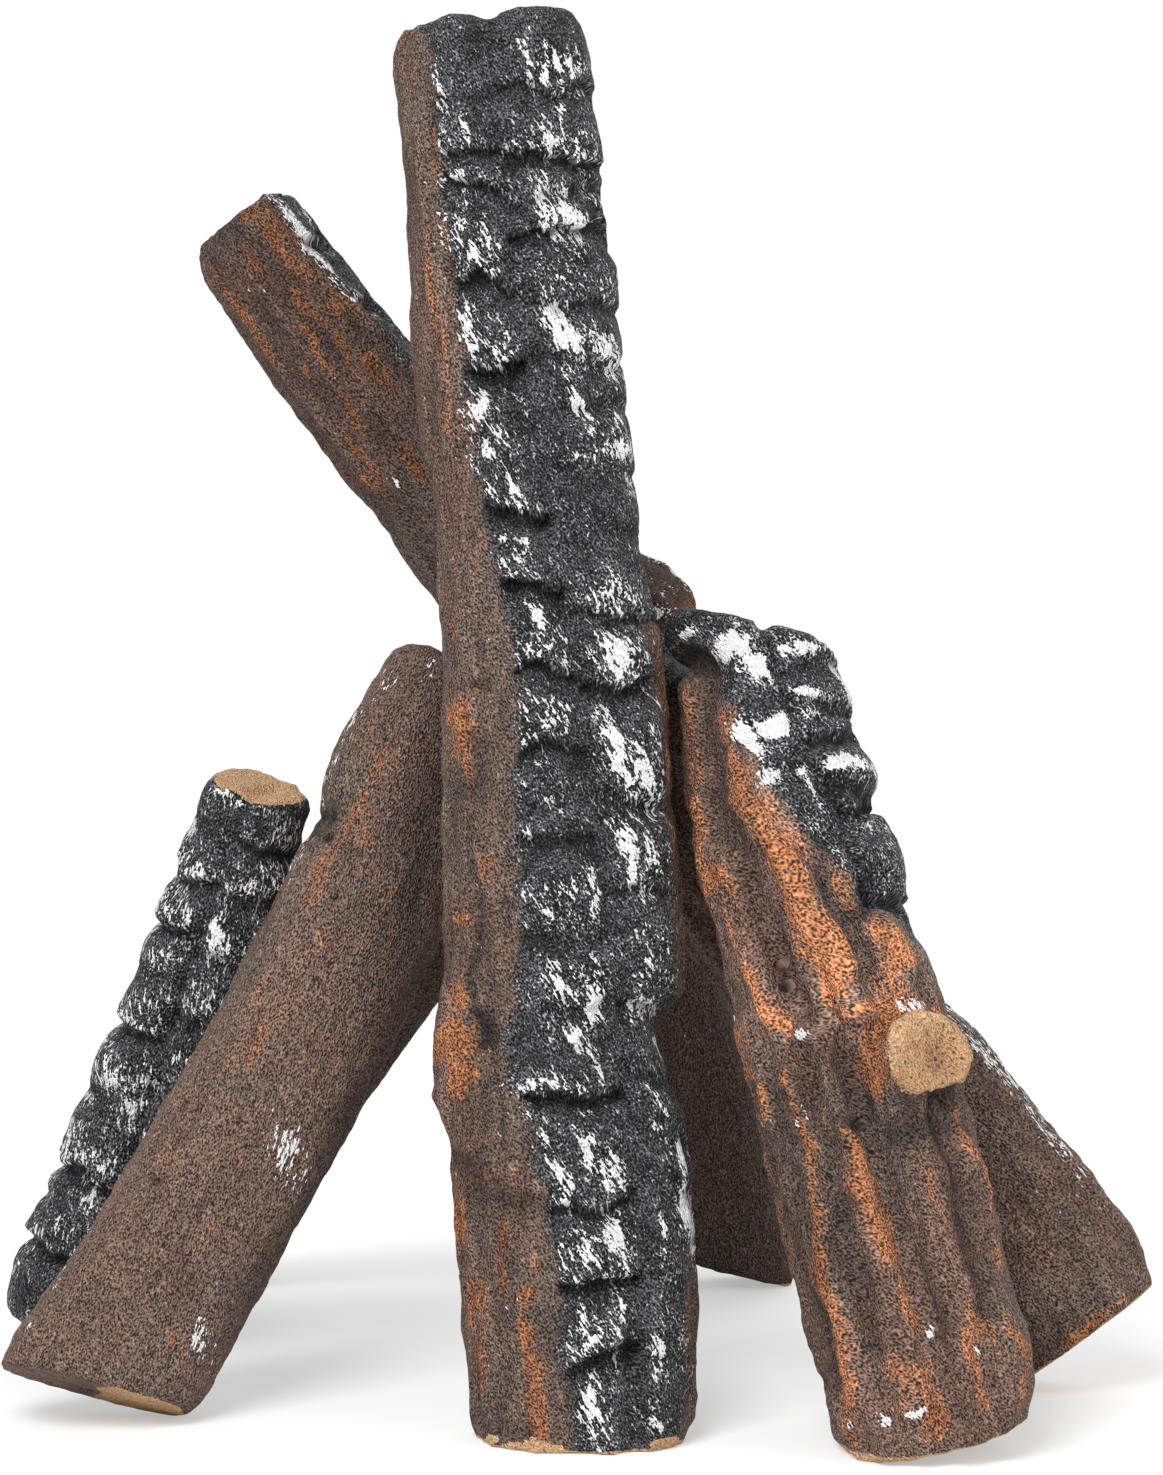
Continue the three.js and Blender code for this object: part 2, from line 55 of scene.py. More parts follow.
# Strokes: share along the log, share across it from -1 at its left edge to 1 at its right one, half the
# length and half the width in millimetres, the slant in degrees from upper left to lower right, and the
# strength. A dent's or knob's strength is its depth or height in millimetres.
TALL_ASH = (
    (0.963, 0.36, 7, 1.8, 13, 1), (0.968, 0.55, 5, 1, 0, 0.7), (0.957, 0.72, 7, 8, 10, 0.85),
    (0.949, 0.5, 4, 4, 0, 0.8), (0.943, 0.38, 3, 3, 0, 0.8), (0.937, 0.78, 4, 5, 0, 0.65),
    (0.938, -0.53, 14, 2.5, 5, 0.7), (0.905, -0.54, 5, 2, 10, 0.7), (0.912, -0.32, 9, 1.8, 5, 0.85),
    (0.888, 0.03, 18, 0.9, 12, 0.9), (0.9, 0.5, 9, 6, 15, 0.75), (0.917, 0.64, 11, 1, 5, 0.8),
    (0.88, -0.4, 6, 8, 0, 0.6), (0.868, -0.25, 3, 8, 20, 0.55), (0.852, 0.45, 19, 6, 12, 0.8),
    (0.848, 0.66, 13, 5, 10, 1), (0.87, 0.9, 11, 3, 10, 0.6), (0.84, -0.4, 12, 9, 35, 0.5),
    (0.815, -0.2, 14, 1.5, 45, 0.8), (0.825, -0.13, 9, 1.5, 8, 0.8), (0.806, 0.12, 4, 1.5, 5, 0.7),
    (0.77, -0.35, 16, 5, 8, 0.7), (0.758, -0.1, 9, 3, 15, 0.55), (0.765, 0.48, 14, 6, 20, 1.05),
    (0.748, 0.85, 14, 6, 18, 0.85), (0.805, 0.58, 9, 7, 20, 0.45), (0.712, -0.33, 8, 6, 10, 0.95),
    (0.688, -0.2, 8, 13, 15, 0.6), (0.705, 0.13, 13, 1.5, 8, 0.85), (0.66, -0.3, 5, 3, 0, 0.6),
    (0.655, -0.04, 8, 5, 15, 0.75), (0.645, 0.1, 5, 6, 0, 0.6), (0.717, 0.55, 15, 3, 22, 0.9),
    (0.703, 0.9, 5, 5, 0, 0.7), (0.683, 0.87, 5, 9, 10, 0.95), (0.66, 0.95, 8, 2, 5, 0.6),
    (0.674, 0.52, 2, 6, 0, 0.8), (0.622, -0.25, 2.5, 4, 0, 0.7), (0.608, 0, 10, 6, 15, 0.7),
    (0.591, 0.17, 5, 3, 15, 0.5), (0.565, 0.08, 9, 3, 25, 0.85), (0.54, 0.13, 6, 2, 5, 0.7),
    (0.543, 0.25, 17, 1.2, 8, 0.75), (0.58, 0.66, 9, 14, 15, 0.6), (0.535, 0.66, 11, 7, 10, 1),
    (0.54, 0.85, 8, 4, 10, 0.5), (0.51, 0.9, 8, 1.5, 15, 0.7), (0.5, -0.03, 14, 6, 10, 0.45),
    (0.487, 0.24, 14, 1.3, 5, 0.8), (0.468, 0.6, 20, 4, 18, 1.05), (0.45, 0.8, 15, 3.5, 16, 0.95),
    (0.455, 0.03, 9, 6, 30, 0.4), (0.432, 0.15, 6, 4, 15, 0.5), (0.437, 0.4, 7, 0.8, -20, 0.8),
    (0.413, -0.15, 2, 6, 0, 0.6), (0.395, 0.62, 16, 4, 10, 1), (0.398, 0.78, 12, 3, 10, 0.8),
    (0.373, 0.17, 6, 6, 5, 0.65), (0.368, 0.36, 12, 2.5, 5, 0.95), (0.368, 0.78, 5, 3, 0, 0.7),
    (0.325, 0.7, 17, 9, 10, 0.5), (0.305, 0.1, 10, 10, 20, 0.7), (0.296, 0.34, 11, 4, -10, 1.1),
    (0.322, 0.37, 10, 3, 5, 0.7), (0.292, 0.63, 5, 9, 0, 0.8), (0.284, 0.85, 1.2, 9, -30, 1),
    (0.268, 0.93, 9, 1.5, 0, 1), (0.272, 0.22, 11, 3.5, 40, 0.95), (0.278, -0.05, 6, 1, -20, 0.6),
    (0.238, 0.37, 11, 1.8, 10, 0.9), (0.238, -0.22, 3, 9, 0, 0.7), (0.232, 0.76, 10, 1.3, 15, 0.8),
    (0.224, 0.23, 2.5, 5, -15, 0.6), (0.21, -0.15, 12, 4, 20, 0.6), (0.205, 0.8, 15, 4, 12, 0.5),
    (0.192, 0.2, 12, 3, 18, 0.95), (0.178, 0.4, 11, 8, 20, 0.75), (0.168, 0.35, 4, 4, 0, 1),
    (0.19, 0.93, 8, 2.5, 5, 1), (0.15, 0.95, 18, 3.5, 5, 1), (0.172, -0.03, 13, 2.8, 30, 0.9),
    (0.135, 0.37, 18, 5, 5, 0.95), (0.125, 0.13, 14, 8, 15, 0.65), (0.138, 0.76, 9, 1.8, 8, 0.8),
    (0.115, 0.77, 12, 4, 0, 0.5), (0.09, 0.36, 12, 1.8, 0, 0.85), (0.08, 0.07, 14, 5, 0, 0.7),
    (0.062, 0.12, 2.5, 5, 15, 1), (0.083, 0.33, 6, 4, 0, 0.5), (0.05, 0.33, 12, 2, -8, 0.9),
    (0.052, 0.7, 14, 3, 0, 0.8), (0.06, 0.88, 8, 2, 5, 0.7), (0.018, 0.1, 17, 5, 0, 0.9),
    (0.01, 0.58, 9, 5, 15, 0.8), (0.01, 0.27, 12, 1.2, -5, 0.7),
)
TALL_RUST = (
    (0.905, -0.63, 4, 2, 0, 0.9), (0.885, -0.6, 4, 3, 0, 0.8), (0.845, -0.56, 12, 1.5, 0, 1),
    (0.79, -0.5, 5, 2, 0, 0.9), (0.66, -0.6, 20, 1.5, 0, 0.5), (0.46, -0.72, 8, 3, 0, 0.6),
    (0.4, -0.5, 10, 6, 0, 0.4), (0.36, -0.82, 5, 3, 0, 0.9), (0.335, -0.75, 8, 2, 0, 0.5),
    (0.31, -0.72, 5, 4, 0, 0.9), (0.285, -0.65, 6, 2, 0, 0.9), (0.275, -0.8, 8, 9, 0, 1),
    (0.255, -0.76, 9, 4, 0, 1), (0.183, -0.72, 3, 12, 0, 0.9), (0.155, -0.93, 10, 3, 0, 0.9),
    (0.14, -0.55, 6, 3, 0, 0.6), (0.115, -0.6, 10, 5, 0, 0.5), (0.12, -0.3, 4, 2, 0, 0.6),
    (0.098, -0.88, 12, 4, 0, 0.9), (0.1, -0.42, 4, 3, 0, 1), (0.075, -0.45, 7, 3, 0, 1),
    (0.05, -0.38, 5, 3, 0, 0.9), (0.035, -0.33, 8, 3, 0, 1), (0.025, -0.47, 5, 2, 0, 0.6),
    (0.01, -0.4, 5, 4, 0, 1), (0.06, -0.88, 8, 3, 0, 0.6), (0.04, -0.9, 8, 4, 0, 0.5),
    (0.497, -0.76, 12, 4, 0, 0.8), (0.6, -0.8, 60, 2, 0, 0.35), (0.75, -0.75, 60, 2, 0, 0.3),
    (0.62, -0.38, 4, 5, 0, 0.5), (0.62, 0.97, 30, 2, 0, 0.7), (0.5, 0.98, 36, 2, 0, 0.8),
    (0.4, 0.97, 26, 2, 0, 0.7),
)
TALL_DENTS = (
    (0.955, 0.23, 7, 4, 10, 2), (0.873, -0.34, 5, 4, 20, 2), (0.887, 0.49, 4, 6, 0, 2.5),
    (0.859, 0.86, 9, 4, 5, 2.5), (0.846, 0.12, 6, 4, 10, 2), (0.811, -0.52, 4, 4, 0, 2),
    (0.796, 0.14, 8, 5, 10, 2), (0.755, 0.22, 9, 4, 5, 2), (0.738, -0.23, 6, 9, 10, 3.5),
    (0.703, 0.4, 8, 6, 0, 2), (0.693, -0.46, 5, 4, 0, 2), (0.655, 0.5, 8, 9, 0, 2),
    (0.63, 0.25, 10, 4, 0, 2), (0.61, -0.1, 6, 8, 20, 1.5), (0.517, 0.25, 5, 7, 20, 3),
    (0.5, 0.55, 6, 8, 0, 2), (0.462, 0.28, 9, 6, 5, 2.5), (0.435, 0.1, 6, 7, 0, 2),
    (0.43, 0.85, 5, 8, 0, 2.5), (0.41, 0.42, 12, 3, 0, 2), (0.345, 0.22, 6, 8, 10, 2.5),
    (0.335, -0.2, 5, 5, 0, 1.5), (0.292, 0.1, 4, 10, 0, 2), (0.25, 0.3, 5, 9, 0, 2.5),
    (0.268, -0.32, 3, 7, -10, 2.5), (0.222, 0.33, 4, 7, -20, 2.5), (0.19, -0.45, 6, 4, 40, 1.5),
    (0.165, -0.3, 10, 3, 50, 2.5), (0.15, 0.2, 6, 8, 0, 2), (0.103, 0.35, 4, 8, -15, 2.5),
    (0.48, -0.62, 7, 6, 0, 3), (0.36, -0.45, 3, 8, -10, 1.5),
)
TALL_KNOBS = ((0.495, -0.74, 13, 6, 0, 2.5), (0.632, -0.42, 3, 4, 0, 2.5), (0.28, -0.85, 9, 5, 0, 1.5))
TALL_CHIPS = ((-0.006, -0.5, 2.6, 15, 0, 1), (0.001, -0.85, 2, 4, 0, 0.9), (-0.008, 0.75, 2.4, 9, 0, 0.9))
STUB_ASH = (
    (0.925, -0.33, 6, 10, 20, 1.1), (0.893, -0.1, 9, 6, 35, 1.1), (0.855, 0.5, 4, 9, -20, 1.05),
    (0.82, 0.08, 5, 15, 10, 1.1), (0.808, -0.28, 10, 4, 15, 1.1), (0.757, -0.17, 4, 5, 20, 1),
    (0.762, 0.15, 4, 4, 0, 0.9), (0.74, 0.24, 14, 1.5, 10, 0.8), (0.768, 0.57, 4, 12, 10, 1),
    (0.905, 0.5, 4, 16, 0, 0.85), (0.865, 0.95, 12, 3, 0, 1), (0.765, 0.8, 6, 6, 0, 0.8),
    (0.76, 0.97, 8, 3, 0, 0.9), (0.695, 0.12, 5, 4, 20, 0.7), (0.69, 0.75, 10, 14, 10, 0.55),
    (0.64, 0.5, 20, 8, 25, 0.5), (0.455, -0.3, 2, 6, 30, 0.9), (0.47, 0.62, 3, 8, -10, 0.9),
    (0.385, -0.9, 4, 3, 0, 0.6), (0.37, -0.62, 6, 1, 0, 0.7), (0.375, -0.52, 6, 1, 0, 0.7),
    (0.01, -0.45, 4, 3, 0, 0.9), (0.012, -0.1, 2, 6, 0, 0.8), (0.02, -0.72, 2, 2, 0, 0.7),
    (0.1, 0.17, 3, 1.5, 0, 0.8), (0.07, 0.55, 2, 2, 0, 0.8), (0.955, -0.75, 3, 8, 0, 0.9),
    (0.87, 0.06, 14, 1.2, 12, 0.8), (0.8, 0.2, 22, 1.2, 5, 0.7),
)
STUB_RUST = (
    (0.478, -0.14, 9, 15, 0, 0.8), (0.62, -0.1, 40, 16, 20, 0.42), (0.5, 0.2, 14, 20, 0, 0.5),
    (0.52, 0.45, 10, 8, 0, 0.75), (0.7, -0.35, 30, 8, 15, 0.5), (0.27, -0.15, 16, 7, 15, 0.75),
    (0.06, 0, 12, 8, 10, 0.7), (0.03, -0.3, 12, 8, 0, 0.45), (0.1, 0.55, 16, 6, 15, 0.4),
)
# Painted shadows and painted highlights on the branch stub log's bark, the highlights on the swelling round
# the stub
STUB_SHADOWS = ((0.7, -0.55, 60, 7, 12, 0.4), (0.2, -0.75, 60, 5, 0, 0.3), (0.33, 0.1, 18, 14, 20, 0.25))
STUB_HIGHLIGHTS = ((0.49, -0.12, 13, 34, 0, 0.42), (0.66, -0.3, 34, 8, 12, 0.16), (0.15, -0.1, 50, 24, 0, 0.06))
LEFT_REAR_ASH = (
    (0.985, 0.1, 3, 14, 0, 0.7), (0.9, -0.8, 6, 4, 0, 0.7), (0.84, -0.05, 5, 2, 15, 0.7),
    (0.855, 0.3, 4, 3, 0, 0.7), (0.79, -0.55, 5, 6, 0, 0.6), (0.765, 0.4, 12, 3, 0, 1.1),
    (0.755, 0.05, 5, 9, 0, 0.7), (0.735, 0, 6, 6, 0, 0.6), (0.73, 0.48, 6, 3, 0, 0.8),
    (0.69, 0.75, 4, 3, 0, 0.9), (0.71, -0.8, 6, 4, 0, 0.7), (0.62, -0.05, 14, 3, 0, 0.6),
    (0.6, -0.15, 6, 4, 0, 0.6), (0.945, 0.85, 10, 3, 0, 0.7), (0.87, 0.8, 8, 3, 0, 0.7),
    (0.49, -0.85, 12, 4, 0, 0.6), (0.485, 0.08, 5, 5, 0, 0.9), (0.43, -0.1, 7, 5, 0, 0.85),
    (0.4, 0, 5, 5, 0, 0.7), (0.4, -0.85, 2, 6, 0, 0.8), (0.33, -1, 5, 2, 0, 0.7),
    (0.285, -0.4, 6, 3, 0, 0.8), (0.27, -0.2, 8, 2.5, 0, 0.7), (0.19, -0.4, 9, 5, 0, 0.5),
    (0.22, -0.9, 12, 6, 0, 0.5), (0.09, -0.85, 14, 6, 0, 0.5),
)
CROSSING_ASH = (
    (0.955, 0.68, 22, 3, 0, 1.1), (0.97, 1, 14, 2, 0, 1), (0.905, 0.85, 12, 5, 0, 0.7),
    (0.885, 0.95, 6, 5, 0, 0.9), (0.86, 0.97, 10, 3, 0, 0.7), (0.2, 0.97, 30, 2.5, 0, 0.8),
    (0.12, 0.9, 20, 4, 0, 0.6), (0.33, 0.85, 14, 3, 0, 0.7), (0.3, 0.7, 10, 3, 0, 0.5),
    (0.08, 0.6, 6, 3, 0, 0.5), (0.26, 0.9, 14, 5, 0, 0.7), (0.95, -0.6, 2, 2, 0, 0.5),
    (0.945, -0.35, 2, 2, 0, 0.5), (0.865, -0.3, 2, 2, 0, 0.5), (0.78, -0.5, 3, 2, 0, 0.6),
    (0.15, 0.95, 10, 2, 0, 0.6),
)
CROSSING_RUST = (
    (0.995, 0.05, 5, 6, 0, 1), (0.965, 0.15, 14, 3, 0, 1), (0.97, 0.4, 16, 3, 0, 0.9),
    (0.94, 0.25, 10, 4, 0, 0.8), (0.905, 0.45, 8, 6, 0, 1), (0.935, -0.8, 22, 2, 0, 0.9),
    (0.965, -0.3, 8, 2, 0, 0.8), (0.92, -0.15, 10, 2.5, 0, 0.9), (0.89, -0.3, 14, 1.5, 0, 0.9),
    (0.868, -0.05, 18, 1.5, 0, 0.9), (0.878, -0.6, 8, 2, 0, 0.8), (0.85, 0.25, 10, 3, 0, 0.8),
    (0.84, -0.45, 9, 2, 0, 0.8), (0.815, -0.62, 14, 1.5, 0, 0.8), (0.79, -0.75, 9, 2, 0, 0.7),
    (0.785, -0.2, 9, 3, 0, 0.8), (0.006, 0.1, 3, 13, 0, 0.9), (0.7, -0.3, 14, 3, 0, 0.6),
)
CROSSING_CHIPS = ((-0.012, -0.52, 5, 8, 0, 1),)
LEFT_FRONT_ASH = (
    (0.358, 0.57, 14, 7, 35, 0.74), (0.11, 0.67, 9, 4, 35, 0.72), (0.93, -0.9, 12, 2.5, 0, 0.5),
    (0.87, -0.95, 12, 2, 0, 0.5), (0.8, -0.95, 12, 2, 0, 0.48), (0.7, -0.97, 12, 2, 0, 0.48),
    (0.97, -0.55, 5, 5, 0, 0.5), (0.1, -0.95, 8, 2, 0, 0.48), (0.03, -0.9, 5, 2, 0, 0.48),
)
LEFT_FRONT_RUST = (
    (0.84, -0.5, 14, 6, 0, 0.4), (0.74, -0.45, 16, 6, 0, 0.5), (0.66, -0.55, 20, 5, 0, 0.5),
    (0.6, -0.1, 26, 8, 0, 0.34), (0.45, -0.4, 22, 6, 0, 0.4), (0.3, -0.6, 30, 6, 0, 0.36),
    (0.5, 0.5, 26, 6, 0, 0.26), (0.2, 0.2, 24, 7, 0, 0.34), (0.84, 0, 20, 5, 0, 0.34),
)
LEFT_FRONT_CHIPS = ((-0.01, 0.35, 2.2, 14, 0, 1), (0.012, 0.78, 5, 5, 0, 1), (0, 0.9, 3, 6, 0, 0.8))
# Painted shadows on the left front log, the longest where the tall log stands over it
LEFT_FRONT_SHADOWS = (
    (0.79, 0.24, 78, 9, 17, 0.52), (0.35, 0.95, 90, 6, 0, 0.42), (0.95, 0.2, 8, 20, 0, 0.25),
)
LEANING_ASH = ((0.99, 0.1, 3, 24, 0, 0.95), (0.975, 0.9, 6, 4, 0, 0.8), (0.97, -0.3, 2, 5, 0, 0.7))
LEANING_RUST = ((0.985, -0.9, 16, 4, 0, 1), (0.93, -0.95, 14, 3, 0, 0.8))

# Crests of bark: points as shares along and across, half width in millimetres, rust, rise in millimetres
TALL_CRESTS = (
    (((0.9, -0.8), (0.82, -0.74), (0.74, -0.66), (0.69, -0.61), (0.64, -0.58), (0.6, -0.6)), 3, 0.5, 1.2),
    (((0.24, -1), (0.214, -0.82), (0.192, -0.6), (0.178, -0.42), (0.17, -0.26)), 4, 0.4, 3),
    (((0.31, -0.74), (0.275, -0.7), (0.25, -0.74)), 5, 0.5, 1.5),
)
STUB_CRESTS = (
    (((0.84, -0.44), (0.76, -0.42), (0.7, -0.36), (0.64, -0.22), (0.58, -0.08), (0.52, 0),
      (0.48, 0.02)), 8, 1, 4.5),
    (((0.72, -0.2), (0.67, 0.02), (0.62, 0.3), (0.56, 0.52), (0.52, 0.62)), 6, 0.9, 3),
    (((0.6, 0.08), (0.55, 0.1), (0.5, 0.15)), 7, 0.7, 1),
    (((0.9, -0.78), (0.86, -0.86), (0.78, -0.93), (0.7, -0.92), (0.64, -0.84), (0.58, -0.78), (0.53, -0.7),
      (0.49, -0.6), (0.455, -0.36)), 4.5, 0.95, 3.5),
    (((0.462, -0.3), (0.46, 0), (0.472, 0.2), (0.478, 0.42)), 3.5, 1, 3),
    (((0.44, 0.04), (0.452, 0.2), (0.465, 0.35)), 2, 0.9, 1.5),
    (((0.5, -0.97), (0.4, -0.96), (0.3, -0.97), (0.22, -0.95)), 3, 0.75, 1.5),
    (((0.42, -0.62), (0.36, -0.6), (0.31, -0.62), (0.27, -0.68), (0.22, -0.62), (0.16, -0.61), (0.11, -0.6),
      (0.06, -0.66), (0, -0.72)), 4, 0.78, 2.2),
    (((0.36, -0.3), (0.32, -0.22), (0.28, -0.2), (0.24, -0.12), (0.2, -0.04), (0.15, -0.04),
      (0.11, 0.02)), 6, 0.95, 2.8),
    (((0.1, -0.36), (0.075, -0.22), (0.055, -0.02), (0.02, 0.1), (-0.01, 0.05)), 7, 0.85, 2),
    (((0.29, 0.42), (0.25, 0.5), (0.21, 0.62), (0.18, 0.66)), 3, 0.8, 1.6),
    (((0.36, 0.92), (0.26, 1), (0.18, 0.97), (0.12, 0.84), (0.06, 0.88), (0, 0.82)), 2.5, 0.7, 1.6),
    (((0.09, 0.5), (0.05, 0.56), (0.01, 0.55)), 4, 0.75, 1.5),
    (((0.2, 0.15), (0.14, 0.2), (0.1, 0.22)), 2.5, 0.6, 1.5),
)

# Grooves: points as shares, half width and depth in millimetres, and the darkness of the shade painted into
# them
TALL_GROOVES = (
    (((0.218, -1), (0.192, -0.82), (0.17, -0.6), (0.156, -0.42)), 5, 2.5, 0.15),
    (((0.43, -0.6), (0.4, -0.62), (0.375, -0.64)), 2.5, 1.5, 0.25),
    (((0.37, -0.7), (0.34, -0.66), (0.31, -0.62)), 2, 1.5, 0.4),
    (((0.295, -0.6), (0.272, -0.57)), 3, 3, 0.8), (((0.452, -0.66), (0.45, -0.58)), 6, 2.5, 0.3),
    (((0.52, -0.6), (0.517, -0.45)), 1.5, 1, 0.4), (((0.37, -0.4), (0.366, -0.3)), 1.5, 1, 0.4),
)
STUB_GROOVES = (
    (((0.9, -0.62), (0.84, -0.7), (0.74, -0.7), (0.66, -0.6), (0.6, -0.5), (0.55, -0.42), (0.5, -0.32),
      (0.475, -0.2)), 5.5, 5, 0.3),
    (((0.68, 0.16), (0.62, 0.14), (0.57, 0.28), (0.52, 0.36)), 4.5, 3, 0.1),
    (((0.62, 0.66), (0.6, 0.52), (0.585, 0.42)), 5, 5, 0.7),
    (((0.42, -0.82), (0.34, -0.8), (0.26, -0.84), (0.16, -0.82), (0.08, -0.85)), 4.5, 3, 0.15),
    (((0.44, -0.42), (0.34, -0.42), (0.26, -0.42), (0.18, -0.36), (0.1, -0.34)), 5, 2.2, 0.2),
    (((0.42, 0), (0.36, 0.02), (0.3, 0.1), (0.24, 0.12), (0.18, 0.2), (0.1, 0.32)), 6, 1.8, 0.1),
    (((0.35, 0.62), (0.28, 0.72), (0.2, 0.8), (0.12, 0.7)), 5, 3.5, 0.25),
    (((0.93, -0.78), (0.92, -0.68)), 6, 5, 0.9), (((0.835, 0.55), (0.83, 0.9)), 4, 4, 0.9),
    (((0.735, 0.5), (0.73, 0.95)), 5, 5, 1), (((0.455, 0.1), (0.452, 0.22)), 1.5, 1.5, 0.5),
    (((0.345, -0.12), (0.35, -0.08)), 3, 3, 0.9), (((0.35, 0.66), (0.36, 0.86)), 3.5, 3, 0.7),
)
LEFT_FRONT_GROOVES = (
    (((0.728, -0.8), (0.73, -0.78)), 2.2, 2.5, 1), (((0.75, -0.9), (0.752, -0.86)), 2.4, 2.5, 1),
    (((0.735, -0.97), (0.755, -0.99)), 6, 3, 0.3), (((0.66, -0.2), (0.662, -0.18)), 1.6, 1.5, 0.8),
    (((0.4, -0.1), (0.402, -0.08)), 1.6, 1.2, 0.5), (((0.25, -0.55), (0.252, -0.52)), 2, 1.5, 0.5),
)

def rows_of(shares, seed):
    """Cracks of seeded strength, bow and tilt at plain shares along a log."""
    dice = np.random.default_rng(seed)
    ranges = ((0.5, 1.1), (-2, 5), (-3, 3))
    return tuple((share, *(dice.uniform(*ends) for ends in ranges)) for share in shares)


# What a log has where its own entry below doesn't say otherwise
PLAIN_LOG = {
    # The turn of its face from the front and the slant of its grain, in degrees
    "roll": 0, "slant": 10,
    # The char's edges and the crease between its columns of blocks, as shares along and across, and the tone
    "char": ((0, 3), (1, 3)), "char_right": ((0, 3), (1, 3)), "crease": ((0, 3), (1, 3)),
    "tone": ((0, 1), (1, 1)),
    # Cracks across each column: share along the log, strength, and bow and tilt in millimetres
    "left_cracks": (), "right_cracks": (),
    # Marks, listed one by one
    # The shadows and lights are painted shade and painted highlights on the bark
    "ash": (), "rust": (), "shadows": (), "lights": (), "dents": (), "knobs": (), "chips": (), "crests": (),
    "grooves": (),
    # How much ash and rust is scattered, the rust's depth, the bark's brightness and grey, and torn grain
    "ash_scatter": 0.34, "rust_scatter": 0.4, "rust_depth": 0.7, "brown": 1, "grey": 0, "hair": 0.4,
    # Relief: shares of the blocks, fibres and folds, and bulge, edge and gutter in millimetres
    "steps": 1, "fibre": 0.5, "folds": 1, "bulge": 1, "edge": 1.5, "gutter": 3,
    # Ash on the blocks' lips, the foot's worn rim in millimetres, where its sawn part starts, and pale tops
    "lip_ash": 0.4, "rim": 2, "sawn_from": -9, "pale_top": False, "pale_rim": False,
}
